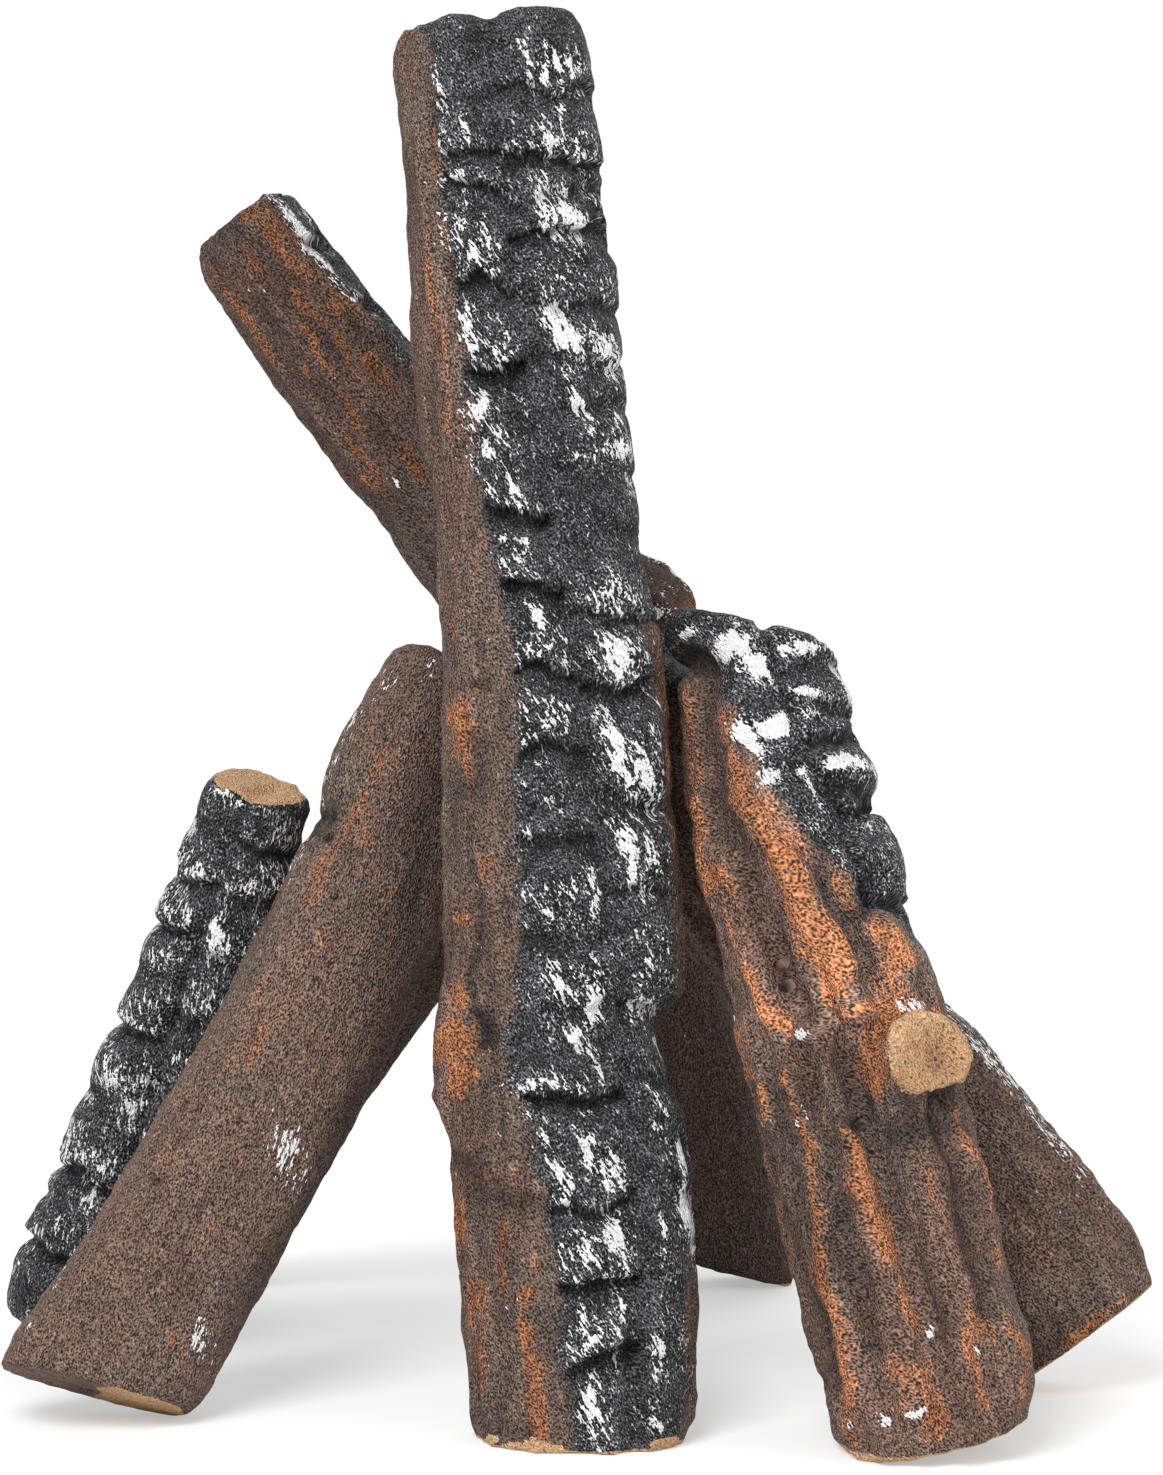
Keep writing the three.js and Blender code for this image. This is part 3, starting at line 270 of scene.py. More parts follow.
OWN_MARKS = {
    "tall_front_log": {
        "slot": "charred_casting", "seed": 3, "slant": 28,
        "char": ((0, -0.09), (0.05, -0.11), (0.1, -0.14), (0.15, -0.2), (0.2, -0.24), (0.225, -0.27),
                 (0.24, -0.4), (0.28, -0.42), (0.3, -0.28), (0.4, -0.25), (0.5, -0.18), (0.55, -0.22),
                 (0.6, -0.3), (0.65, -0.38), (0.7, -0.42), (0.75, -0.46), (0.8, -0.5), (0.85, -0.56),
                 (0.9, -0.6), (1, -0.66)),
        "char_right": ((0, 0.88), (0.12, 0.9), (0.14, 1.1), (0.24, 1.2), (0.27, 0.95), (0.56, 0.94),
                       (0.6, 1.3), (1, 1.4)),
        "crease": ((0, 0.55), (0.06, 0.54), (0.11, 0.57), (0.16, 0.57), (0.23, 0.58), (0.29, 0.5),
                   (0.33, 0.46), (0.4, 0.4), (0.5, 0.38), (0.6, 0.3), (0.7, 0.2), (0.85, 0.06), (1, 0)),
        "left_cracks": ((0.055, 1.2, -3, 5), (0.103, 1.2, 2, 1), (0.158, 0.9, 1, 3), (0.195, 0.3, 0, 0),
                        (0.232, 1.2, 2, -1), (0.268, 0.5, 0, 2), (0.292, 0.5, 3, 0), (0.342, 0.5, 2, -2),
                        (0.41, 0.8, 3, 0), (0.434, 0.4, 0, 2), (0.478, 1.1, -4, 2), (0.53, 1, -4, -1),
                        (0.588, 1.4, 0, -3), (0.638, 1.3, 1, -4), (0.67, 0.4, 2, 0), (0.702, 0.5, 0, 2),
                        (0.742, 1.7, 5, -1), (0.81, 1.2, -8, -2), (0.872, 0.9, 1, -3), (0.896, 1, 0, 1),
                        (0.936, 0.6, 2, 0)),
        "right_cracks": ((0.05, 0.35, 2, 0), (0.16, 0.25, 0, 2), (0.2, 0.35, 2, 0), (0.248, 0.4, 0, -2),
                         (0.292, 0.7, 2, 2), (0.373, 0.7, 3, 0), (0.435, 0.7, 2, -2), (0.515, 1.15, 4, 3),
                         (0.565, 0.8, 3, 0), (0.625, 0.4, 0, 2), (0.665, 0.4, 2, 0), (0.713, 0.5, 2, 2),
                         (0.745, 0.5, 3, 0), (0.79, 0.7, 2, -3), (0.835, 1, 4, 3), (0.868, 0.6, -3, 6),
                         (0.888, 1, 2, -2), (0.94, 0.8, 2, 0)),
        "ash": TALL_ASH, "rust": TALL_RUST, "dents": TALL_DENTS, "crests": TALL_CRESTS,
        "grooves": TALL_GROOVES, "knobs": TALL_KNOBS, "chips": TALL_CHIPS, "rust_scatter": 0.55, "rim": 1.6,
        "steps": 1.2, "hair": 0.5, "bulge": 1.4, "edge": 0.8, "fibre": 1.1, "lip_ash": 0.5, "gutter": 5.2,
    },
    "branch_stub_log": {
        "slot": "rust_casting", "seed": 5, "slant": 28,
        "char": ((0, 3), (0.48, 2), (0.52, 0.97), (0.56, 0.86), (0.585, 0.74), (0.6, 0.5), (0.65, 0.3),
                 (0.69, 0), (0.75, -0.17), (0.8, -0.28), (0.85, -0.4), (0.9, -0.55), (0.93, -0.6),
                 (0.95, -0.9), (1, -1.3)),
        "crease": ((0, 0.9), (0.5, 0.8), (0.7, 0.5), (0.85, 0.2), (1, 0.1)),
        "left_cracks": ((0.68, 0.2, 2, 0), (0.76, 0.3, 2, 3), (0.85, 0.3, 2, 2), (0.92, 0.2, 2, 0)),
        "right_cracks": ((0.6, 1.3, 3, 2), (0.712, 1.2, 3, 2), (0.8, 1.1, 3, 2), (0.89, 0.6, 2, 0),
                         (0.97, 0.5, 2, 0)),
        "tone": ((0, 1.16), (0.45, 1.22), (0.55, 1.4), (0.8, 1.3), (1, 1)),
        "ash": STUB_ASH, "crests": STUB_CRESTS, "grooves": STUB_GROOVES, "shadows": STUB_SHADOWS,
        "lights": STUB_HIGHLIGHTS, "rust": STUB_RUST, "ash_scatter": 0.32, "rust_scatter": 0.6, "rim": 4.2,
        "steps": 1.2, "hair": 0.12, "bulge": 3.4, "edge": 2.6, "fibre": 0.9, "lip_ash": 0.45, "folds": 1.35,
        "gutter": 2.6,
    },
    "left_rear_log": {
        "slot": "charred_casting", "seed": 7, "roll": -25, "slant": 15, "char": ((0, -2), (1, -2)),
        "crease": ((0, 0.2), (0.4, 0.1), (1, 0.2)),
        "left_cracks": ((0.14, 1.2, 2, 0), (0.21, 0.4, 0, 1), (0.285, 1.4, 3, -1), (0.42, 0.4, 0, 2),
                        (0.55, 1.3, 2, 0), (0.64, 0.35, 0, 1), (0.733, 1.2, 3, 1), (0.83, 1.2, 2, -1),
                        (0.92, 0.3, 0, 0)),
        "right_cracks": rows_of((0.1, 0.19, 0.27, 0.36, 0.5, 0.61, 0.72, 0.83, 0.92), 71),
        "ash": LEFT_REAR_ASH, "pale_top": True, "ash_scatter": 0.8, "rust_scatter": 0.2, "rust_depth": 0.6,
        "steps": 1.1, "hair": 0.5, "bulge": 2.2, "edge": 2.6, "lip_ash": 0.5,
    },
    "crossing_log": {
        "slot": "brown_casting", "seed": 9,
        "char": ((0, 1.12), (0.12, 1.08), (0.3, 0.98), (0.42, 0.8), (0.6, 0.6), (0.83, 0.72), (0.9, 0.7),
                 (0.95, 0.6), (1, 0.5)),
        "crease": ((0, 0.95), (1, 0.95)),
        "left_cracks": rows_of((0.14, 0.25, 0.36, 0.48, 0.58, 0.67, 0.75, 0.83, 0.9, 0.96), 90),
        "right_cracks": rows_of((0.14, 0.25, 0.36, 0.48, 0.58, 0.67, 0.75, 0.83, 0.9, 0.96), 91),
        "tone": ((0, 1.2), (0.4, 1.14), (0.7, 0.76), (1, 0.73)),
        "ash": CROSSING_ASH, "rust": CROSSING_RUST, "chips": CROSSING_CHIPS, "ash_scatter": 0.38,
        "rust_scatter": 0.45, "brown": 0.95, "rim": 1.2, "fibre": 1.2,
    },
    "left_front_log": {
        "slot": "brown_casting", "seed": 11, "slant": 12,
        "ash": LEFT_FRONT_ASH, "rust": LEFT_FRONT_RUST, "grooves": LEFT_FRONT_GROOVES,
        "shadows": LEFT_FRONT_SHADOWS, "chips": LEFT_FRONT_CHIPS, "ash_scatter": 0.1, "rust_scatter": 0.9,
        "rust_depth": 0.45, "brown": 1.23, "grey": 0.3, "rim": 0.5, "sawn_from": 0.1, "lip_ash": 0,
    },
    "rear_leaning_log": {
        "slot": "brown_casting", "seed": 13, "roll": 180, "char": ((0, 0.5), (0.3, 0.55), (1, 0.3)),
        "crease": ((0, 0.8), (1, 0.7)),
        "left_cracks": rows_of((0.12, 0.25, 0.37, 0.5, 0.62, 0.74, 0.86), 130),
        "right_cracks": rows_of((0.1, 0.22, 0.34, 0.47, 0.6, 0.7, 0.82, 0.92), 131),
        "ash": LEANING_ASH, "rust": LEANING_RUST, "rust_depth": 0.6, "brown": 0.62, "pale_rim": True,
    },
    "rear_upright_log": {
        "slot": "brown_casting", "seed": 15, "roll": 180, "char": ((0, 0.5), (0.3, 0.4), (1, 0.35)),
        "crease": ((0, 0.8), (1, 0.7)),
        "left_cracks": rows_of((0.14, 0.28, 0.4, 0.52, 0.64, 0.78, 0.9), 150),
        "right_cracks": rows_of((0.1, 0.22, 0.36, 0.47, 0.6, 0.7, 0.82, 0.92), 151),
        "ash_scatter": 0.3, "rust_scatter": 0.35, "rust_depth": 0.5, "brown": 0.5, "fibre": 0.4,
    },
}
LOGS = {}
for log_name, own_marks in OWN_MARKS.items():
    body_name = log_name.removesuffix("_log")
    LOGS[log_name] = PLAIN_LOG | {"body": body_name, "rod": f"{body_name}_rod"} | own_marks
BARK_LOGS = ("crossing_log", "left_front_log")
REAR_LOGS = ("rear_leaning_log", "rear_upright_log")

# The branch stub in its log's frame: its root, its turn to the right in degrees, its reach and its radius
STUB_CENTRE = (17.2, 0, 144.9)
STUB_TURN = 20
STUB_REACH = 45
STUB_RADIUS = 19

# Noise that the marks and the relief wander by: patch size and height in millimetres, and a layer of the seed
WANDER = ((14, 1, 0), (6, 0.6, 1))
CRACK_WOBBLE = ((13, 3.8, 2), (5, 1.8, 3))
SHIFT_ALONG = ((10, 2.4, 4), (4, 1.1, 5))
SHIFT_ACROSS = ((10, 2.4, 6), (4, 1.1, 7))
FIBRES = ((5, 1, 8), (2.6, 0.6, 9))
GUTTER_SHIFT = ((26, 4, 10),)
CHAR_SHIFT = ((9, 2, 11),)
BEND = ((24, 4, 12),)
RUST_BREAKS = ((12, 0.4, 13),)
FIBRE_DRAW = (1, 1, 0.2)

# A stroke or line falls to half its strength at its half width, and no stroke is finer than a brush hair
FALL = 0.69
FINEST_STROKE = 1.1

# Rods and bores, in millimetres
ROD_RECESS = 1.5
BORE_RADIUS = 4.2
BORE_PLAY = 0.3
BORE_END = 1
FEWEST_MOUTH_EDGES = 6

# The camera's place from the tall log's foot, and the point that the lamps face, in metres
CAMERA_FROM_FOOT = (-0.0006, -2.7498, 0.6007)
LIT_POINT = (0, 0, 0.25)


def linear(code):
    """A colour written as six hex digits, as the linear values that Blender works in."""
    parts = [int(code[at:at + 2], 16) / 255 for at in (0, 2, 4)]
    return tuple(p / 12.92 if p <= 0.04045 else ((p + 0.055) / 1.055) ** 2.4 for p in parts)


def colour_choice(name, text, code):
    return bpy.props.FloatVectorProperty(name=name, description=text, subtype="COLOR", size=3, min=0, max=1,
                                         default=linear(code))


def length_choice(name, text, size):
    return bpy.props.FloatProperty(name=name, description=text, subtype="DISTANCE", unit="LENGTH", min=0,
                                   precision=4, default=size)


def share_choice(name, text, share):
    return bpy.props.FloatProperty(name=name, description=text, subtype="FACTOR", min=0, max=2, default=share)


def power_choice(name, text, watts):
    return bpy.props.FloatProperty(name=name, description=text, unit="POWER", min=0, default=watts)


def passes_choice(name, text, passes):
    return bpy.props.IntProperty(name=name, description=text, min=0, default=passes)


class CastingRelief(bpy.types.PropertyGroup):
    """Sizes of the surface of the castings"""
    cell: length_choice("Mesh cell", "Edge of the cells that a log's surface is rebuilt from", 0.003)
    softening: passes_choice("Softening", "Passes that round the facets off", 5)
    levelling: passes_choice("Levelling", "Passes that level the blocks of the char", 24)
    lip: length_choice("Lip", "How far a charred block's lower lip stands proud", 0.0012)
    lip_height: length_choice("Lip height", "How far up a block its lip reaches", 0.008)
    hollow: length_choice("Hollow", "How deep the hollow under a lip is", 0.0045)
    hollow_height: length_choice("Hollow height", "How far below a lip its hollow reaches", 0.011)
    crease: length_choice("Crease", "Depth of the crease between the two columns of blocks", 0.003)
    lump: length_choice("Lump height", "Height of the broad lumps of the casting", 0.0016)
    lump_size: length_choice("Lump size", "Distance between the broad lumps", 0.02)
    pebble: length_choice("Pebble height", "Height of the small pebbles of the casting", 0.0009)
    pebble_size: length_choice("Pebble size", "Distance between the small pebbles", 0.006)


class CastingPaint(bpy.types.PropertyGroup):
    """Colours of the painted castings"""
    bark: colour_choice("Bark", "Brown of the bark", "675147")
    bark_deep: colour_choice("Deep bark", "Brown of the bark's pits", "281e1a")
    bark_grey: colour_choice("Grey bark", "Grey cast over the bark", "61544c")
    rust: colour_choice("Rust", "Orange brown brushed on the crests of the bark", "985f3a")
    char: colour_choice("Char", "Grey black of the charred blocks", "505052")
    # The deep char black is also the shade painted into hollows, grooves and the gutter and under lips
    char_deep: colour_choice("Deep char", "Black of the hollows", "1d1d1f")
    char_light: colour_choice("Light char", "Grey of the char's grain", "98989b")
    ash: colour_choice("Ash", "White of the ash brushed on the char", "fcfcfc")
    sawn: colour_choice("Sawn wood", "Tan of the sawn ends", "cda57d")
    steel: colour_choice("Steel", "Grey of the reinforcing rods", "6f6a66")


class StudioSettings(bpy.types.PropertyGroup):
    """Floor, light and camera"""
    floor: colour_choice("Floor", "Colour of the floor", "fafafa")
    floor_radius: length_choice("Floor radius", "Radius of the round floor", 60)
    shadow_radius: length_choice("Shadow radius", "Radius within which the floor takes the shadow", 0.6)
    white: share_choice("Floor white", "Least share of plain white that the camera sees on the floor", 0.4)
    sky: share_choice("Sky", "Strength of the light from all round", 0.6)
    key: power_choice("Key lamp", "Power of the large lamp above the front", 80)
    fill: power_choice("Fill lamp", "Power of the lamp at the right", 14)
    back: power_choice("Back lamp", "Power of the lamp behind", 26)
    lens: bpy.props.FloatProperty(name="Lens", description="Focal length on a 36 mm side",
                                  subtype="DISTANCE_CAMERA", min=1, default=168.1)
    pitch: bpy.props.FloatProperty(name="Pitch", description="How far the camera looks down", subtype="ANGLE",
                                   default=math.radians(6.5))


class Wire:
    """A socket of a tree. Arithmetic on it adds Math nodes."""

    def __init__(self, web, socket):
        self.web = web
        self.socket = socket

    def _maths(self, kind, *terms):
        return self.web.add(self.web.maths, {"operation": kind}, dict(enumerate(terms)))

    def __add__(self, other):
        return self._maths("ADD", self, other)

    __radd__ = __add__

    def __sub__(self, other):
        return self._maths("SUBTRACT", self, other)

    def __rsub__(self, other):
        return self._maths("SUBTRACT", other, self)

    def __mul__(self, other):
        return self._maths("MULTIPLY", self, other)

    __rmul__ = __mul__

    def most(self, other):
        return self._maths("MAXIMUM", self, other)

    def step(self, low, high):
        """0 below low, 1 above high and smooth between."""
        return self.web.add("ShaderNodeMapRange", {"interpolation_type": "SMOOTHSTEP"},
                            {"Value": self, "From Min": low, "From Max": high})


class Web:
    """Builds a node tree, for a surface or for geometry."""

    maths = "ShaderNodeMath"

    def __init__(self, tree):
        self.tree = tree

    def add(self, kind, settings=None, inputs=None, output=0):
        node = self.tree.nodes.new(kind)
        for name, value in (settings or {}).items():
            setattr(node, name, value)
        for name, value in (inputs or {}).items():
            if isinstance(value, Wire):
                self.tree.links.new(value.socket, node.inputs[name])
            else:
                node.inputs[name].default_value = value
        if output is None:
            return node
        return Wire(self, node.outputs[output])

    def vector(self, kind, inputs, output=0):
        return self.add("ShaderNodeVectorMath", {"operation": kind}, inputs, output)

    def mix(self, share, first, second):
        """A mix of two colours."""
        sockets = {0: share, 6: first, 7: second}
        return self.add("ShaderNodeMix", {"data_type": "RGBA"}, sockets, 2)

    def noise(self, place, size, detail=2, rough=0.5, seed=0):
        """Noise from 0 to 1 with patches of about one size."""
        return self.add("ShaderNodeTexNoise", {"noise_dimensions": "4D"}, {
            "Vector": place, "W": seed * 3.7, "Scale": 0.6 / size, "Detail": detail, "Roughness": rough})

    def field(self, place, size, detail, seed):
        """Noise about 0, mostly between -1 and 1."""
        return (self.noise(place, size, detail, 0.55, seed) - 0.5) * 5

    def scaled(self, colour, share):
        """A colour made lighter or darker by a share."""
        return self.vector("SCALE", {0: colour, "Scale": share})

    def stretched(self, place, slant, long):
        """The place drawn out along the log, slanted from upper left to lower right, for a grain."""
        return self.add("ShaderNodeMapping", {"vector_type": "TEXTURE"},
                        {"Vector": place, "Rotation": (0, -slant, 0), "Scale": (1, 1, long)})


def new_surface(name):
    """A material with an empty tree, and the web that fills it."""
    material = bpy.data.materials.new(name)
    material.use_nodes = True
    material.node_tree.nodes.clear()
    return material, Web(material.node_tree)


def rgba(colour):
    return (*colour, 1)


def soft_noise(points, size, seed):
    """Smooth noise from -1 to 1 at the rows of points, with patches of about one size."""
    table_size = 4096
    dice = np.random.default_rng(seed).uniform(-1, 1, table_size)
    primes = np.array((73856093, 19349663, 83492791))
    place = points / size
    base = np.floor(place).astype(np.int64)
    part = place - base
    part = part * part * (3 - 2 * part)
    total = np.zeros(len(points))
    for corner in itertools.product((0, 1), repeat=3):
        corner = np.array(corner)
        share = np.where(corner, part, 1 - part).prod(axis=1)
        total += share * dice[((base + corner) * primes).sum(axis=1) % table_size]
    return total


def smooth_step(value, low, high):
    share = np.clip((value - low) / (high - low), 0, 1)
    return share * share * (3 - 2 * share)


class LogFrame:
    """A log's own frame: its foot's centre, its length, and directions to the right, the back and the top."""

    def __init__(self, rod_name, roll):
        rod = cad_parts[rod_name]
        points = np.array([v.co[:] for v in rod.data.vertices])
        middle = points.mean(axis=0)
        up = np.linalg.svd(points - middle, full_matrices=False)[2][0]
        up *= np.sign(up[2])
        reach = (points - middle) @ up
        self.foot = middle + up * (reach.min() - ROD_RECESS * MM)
        right = np.cross((0, 1, 0), up)
        right /= np.linalg.norm(right)
        back = np.cross(up, right)
        turn = math.radians(roll)
        self.axes = np.array((
            math.cos(turn) * right + math.sin(turn) * back,
            math.cos(turn) * back - math.sin(turn) * right,
            up,
        ))

    def local(self, points):
        return (points - self.foot) @ self.axes.T / MM

    def turned(self, directions):
        return directions @ self.axes.T


def read(mesh, kind):
    values = np.empty(len(mesh.vertices) * 3, np.float32)
    mesh.vertices.foreach_get(kind, values)
    return values.reshape(-1, 3).astype(float)


def store(mesh, name, values, kind="FLOAT"):
    layer = mesh.attributes.new(name, kind, "POINT")
    layer.data.foreach_set("vector" if kind == "FLOAT_VECTOR" else "value", values.astype(np.float32).ravel())


def closed_copy(node, log_frame):
    """A merged copy of a CAD log, with its rod's bore closed so that it can be rebuilt in fine cells."""
    shape = bmesh.new()
    shape.from_mesh(node.data)
    bmesh.ops.remove_doubles(shape, verts=shape.verts, dist=1e-6)
    inner = set()
    for vert in shape.verts:
        x, y, _ = log_frame.local(np.array(vert.co[:]))
        if math.hypot(x, y) < BORE_RADIUS:
            inner.add(vert)
    walls = [face for face in shape.faces if all(vert in inner for vert in face.verts)]
    bmesh.ops.delete(shape, geom=walls, context="FACES")
    bmesh.ops.holes_fill(shape, edges=[edge for edge in shape.edges if edge.is_boundary])
    bmesh.ops.triangulate(shape, faces=shape.faces)
    mesh = bpy.data.meshes.new(node.name)
    shape.to_mesh(mesh)
    shape.free()
    return mesh


def applied(piece):
    """Turns a piece's modifiers into its plain mesh."""
    graph = bpy.context.evaluated_depsgraph_get()
    mesh = bpy.data.meshes.new_from_object(piece.evaluated_get(graph))
    piece.modifiers.clear()
    old = piece.data
    piece.data = mesh
    bpy.data.meshes.remove(old)


class Surface:
    """The points of a log's mesh in its own frame, in millimetres and as shares along and across the log."""

    def __init__(self, mesh, log, log_frame):
        self.log = log
        self.local = log_frame.local(read(mesh, "co"))
        height = self.local[:, 2]
        self.length = height.max()
        self.along = height / self.length
        step = 8
        reach = 12
        steps = np.arange(0, self.length, float(step))
        slices = [self.local[np.abs(height - at) < reach, 0] for at in steps]
        left = np.interp(height, steps, [max(1, -near.min()) for near in slices])
        right = np.interp(height, steps, [max(1, near.max()) for near in slices])
        self.half_width = np.where(self.local[:, 0] < 0, left, right)
        self.across = self.local[:, 0] / self.half_width

    def table(self, key):
        """A table of shares along the log, read at each point."""
        return np.interp(self.along, *zip(*self.log[key]))

    def noise(self, layers, draw=(1, 1, 1)):
        drawn = self.local * draw
        seed = self.log["seed"]
        return sum(height * soft_noise(drawn, size, seed + layer) for size, height, layer in layers)


class PaintedSurface(Surface):
    """Where a log is charred, ashy, rusty, sawn and hollow, where shade and highlights are painted on it, and
    how far its relief rises.

    Distances are in millimetres in the log's own frame. Strengths and tones are shares.
    """

    def __init__(self, mesh, log, log_frame, relief):
        super().__init__(mesh, log, log_frame)
        self.relief = relief
        self.normals = log_frame.turned(read(mesh, "normal"))
        world_height = read(mesh, "co")[:, 2]
        self.floor_gap = (world_height - world_height.min()) / MM
        self.wander = self.noise(WANDER)
        self.front = smooth_step(-self.local[:, 1], -7 - 3 * self.wander, -1)
        self.marked = self.along + self.noise(SHIFT_ALONG) / self.length
        self.swept = self.across + self.noise(SHIFT_ACROSS) / self.half_width
        self.bent = self.swept + self.noise(BEND) / self.half_width
        self.lift = np.zeros(len(self.along))
        self.painted_shade = np.zeros(len(self.along))
        self.wear_and_hollow_shade = np.zeros(len(self.along))

    def strokes(self, kind):
        """How strongly each point is covered by the log's strokes of a kind, 0.5 at a full stroke's edge."""
        field = np.zeros(len(self.along))
        for place, side, half_long, half_wide, slant, strength in self.log[kind]:
            tall = (self.marked - place) * self.length
            wide = (self.swept - side) * self.half_width
            turn = math.radians(slant)
            down = wide * math.sin(turn) - tall * math.cos(turn)
            over = wide * math.cos(turn) + tall * math.sin(turn)
            away = (down / half_long) ** 2 + (over / max(half_wide, FINEST_STROKE)) ** 2
            field = np.maximum(field, strength * np.exp(-FALL * away))
        return field

    def line(self, points, half_line):
        """1 on a line through points given as shares, and 0.5 at its half width."""
        nearest = np.full(len(self.along), 1e9)
        for (low, low_side), (high, high_side) in zip(points, points[1:]):
            dx = (high_side - low_side) * self.half_width
            dz = (high - low) * self.length
            px = (self.bent - low_side) * self.half_width
            pz = (self.marked - low) * self.length
            share = np.clip((px * dx + pz * dz) / (dx * dx + dz * dz), 0, 1)
            nearest = np.minimum(nearest, np.hypot(px - share * dx, pz - share * dz))
        return np.exp(-FALL * (nearest / half_line) ** 2)

    def burn(self):
        """The char, from how many millimetres a point lies inside its edges."""
        inside = np.minimum((self.across - self.table("char")) * self.half_width + self.noise(CHAR_SHIFT),
                            (self.table("char_right") - self.across) * self.half_width)
        back_edge = 9
        inside = np.minimum(inside, back_edge - self.local[:, 1] + 4 * self.wander)
        fade = 24
        self.char = np.clip(0.5 + (inside + 2.5 * self.wander) / fade, 0, 1)
        self.charred = smooth_step(inside + 1.5 * self.wander, -2, 3)

    def cracked(self, cracks, side, wobble, seed):
        """How far a column's blocks rise, and the shade painted in the hollow below their lips."""
        log = self.log
        relief = self.relief
        height = self.local[:, 2]
        dice = np.random.default_rng(seed)
        rise = np.zeros(len(height))
        shade = np.zeros(len(height))
        lower = None
        for share, strong, bow, tilt in cracks:
            place = share * self.length + bow * side ** 2 + tilt * side + wobble * dice.uniform(0.6, 1.4)
            above = height - place
            if lower is not None:
                between = np.clip((height - lower) / np.maximum(place - lower, 1), 0, 1)
                rise += log["bulge"] * min(1, strong) * np.sin(math.pi * between)
            lower = place
            edge = log["edge"] + 3 * max(0, 1 - strong)
            over = smooth_step(above, -edge, edge)
            block = np.exp(-np.maximum(above, 0) / (relief.lip_height / MM)) * relief.lip / MM
            below = np.maximum(-above, 0) / (relief.hollow_height / MM)
            hollow = np.exp(-below ** 1.3)
            rise += strong * (over * block - (1 - over) * hollow * relief.hollow / MM)
            shade = np.maximum(shade, min(1, strong) * (1 - over) * np.exp(-(below * 2) ** 2))
        return rise, shade

    def raise_blocks(self):
        """The two columns of charred blocks, the ash on their lips and the gutter between the columns, with
        shade painted under the lips and in the gutter.
        """
        log = self.log
        crease = self.table("crease")
        wobble = self.noise(CRACK_WOBBLE)
        columns = (
            (log["left_cracks"], self.table("char"), crease, self.across < crease),
            (log["right_cracks"], crease, np.maximum(1, crease + 0.1), self.across >= crease),
        )
        self.lips = np.zeros(len(self.along))
        for index, (cracks, low, high, here) in enumerate(columns):
            side = np.clip(2 * (self.across - low) / np.maximum(high - low, 0.05) - 1, -1.3, 1.3)
            rise, shade = self.cracked(cracks, side, wobble, log["seed"] + index)
            part = smooth_step(1.2 - np.abs(side), 0, 0.35) * self.charred * self.front * here
            self.lift += part * rise * log["steps"]
            self.painted_shade = np.maximum(self.painted_shade, part * shade)
            self.lips = np.maximum(self.lips, part * np.clip(rise / (self.relief.lip / MM), 0, 1))
        gap = (self.across - crease) * self.half_width + 1.5 * self.wander + self.noise(GUTTER_SHIFT)
        self.gutter = np.exp(-(gap / log["gutter"]) ** 2) * self.charred * self.front
        self.lift -= self.gutter * self.relief.crease / MM
        # Painted shade in the gutter
        self.painted_shade = np.maximum(self.painted_shade, 0.3 * self.gutter)

    def grow_bark(self):
        """The bark's fibres, rust on its crests and the grooves between them, with painted light on fibres
        and crests and painted shade in grooves and shadow strokes.
        """
        log = self.log
        fibre = self.noise(FIBRES, FIBRE_DRAW)
        self.lift += log["fibre"] * fibre * (1 - self.charred)
        # The tone is lighter on raised fibres and darker between them, partly the bark's own tone and partly
        # painted light and shade
        self.tone = self.table("tone") * (1 + 0.26 * fibre * log["fibre"])
        self.rust = self.strokes("rust")
        broken = 0.85 + self.noise(RUST_BREAKS) + 0.2 * fibre
        for points, half_crest, strength, rise in log["crests"]:
            crest = self.line(points, half_crest * 1.2)
            self.lift += crest * rise * log["folds"]
            # A painted highlight on each raised crest
            self.tone = self.tone * (1 + 0.12 * crest)
            self.rust = np.maximum(self.rust, strength * broken * self.line(points, half_crest * 0.8))
        shadow = self.strokes("shadows")
        # Each groove gets painted shade, as deep char black and as darker bark
        for points, half_groove, depth, shade in log["grooves"]:
            groove = self.line(points, half_groove)
            self.lift -= groove * depth * log["folds"]
            self.rust = self.rust * (1 - 0.8 * groove)
            self.painted_shade = np.maximum(self.painted_shade, shade * groove ** 1.5)
            shadow = np.maximum(shadow, 0.4 * groove)
        # Painted shadows from the shadow strokes and grooves, and painted highlights from the light strokes
        self.tone = self.tone * (1 - shadow) * (1 + self.strokes("lights"))

    def brush(self):
        """Ash, dents with shade painted in them, and knobs. The back of a log that faces the front has no ash
        strokes and no rust.
        """
        faces_front = self.log["roll"] < 90
        dents = self.strokes("dents")
        self.lift += self.strokes("knobs") - dents
        # Painted shade in the dents
        self.painted_shade = np.maximum(self.painted_shade, 0.16 * dents)
        brushed = self.front if faces_front else 1
        ash = np.maximum(self.strokes("ash") * brushed, self.log["lip_ash"] * self.lips)
        self.ash = ash * (1 - 0.6 * self.gutter)
        if faces_front:
            self.rust = self.rust * smooth_step(-self.local[:, 1], -26, -10)

    def rim_top(self):
        """Ash and rust round the edge of a top that shows above the others."""
        out = np.hypot(self.across, self.local[:, 1] / self.half_width) + 0.06 * self.wander
        ring = smooth_step(self.normals[:, 2], 0.1, 0.35) * smooth_step(self.along, 0.85, 0.9)
        ring = ring * smooth_step(out, 0.62, 0.8)
        back_edge = smooth_step(-self.local[:, 1] + 3 * self.wander, 0, 8)
        self.ash = np.maximum(self.ash, ring * back_edge * smooth_step(self.across, -0.7, -0.4))
        self.rust = np.maximum(self.rust, ring * smooth_step(-self.across, 0.4, 0.65))

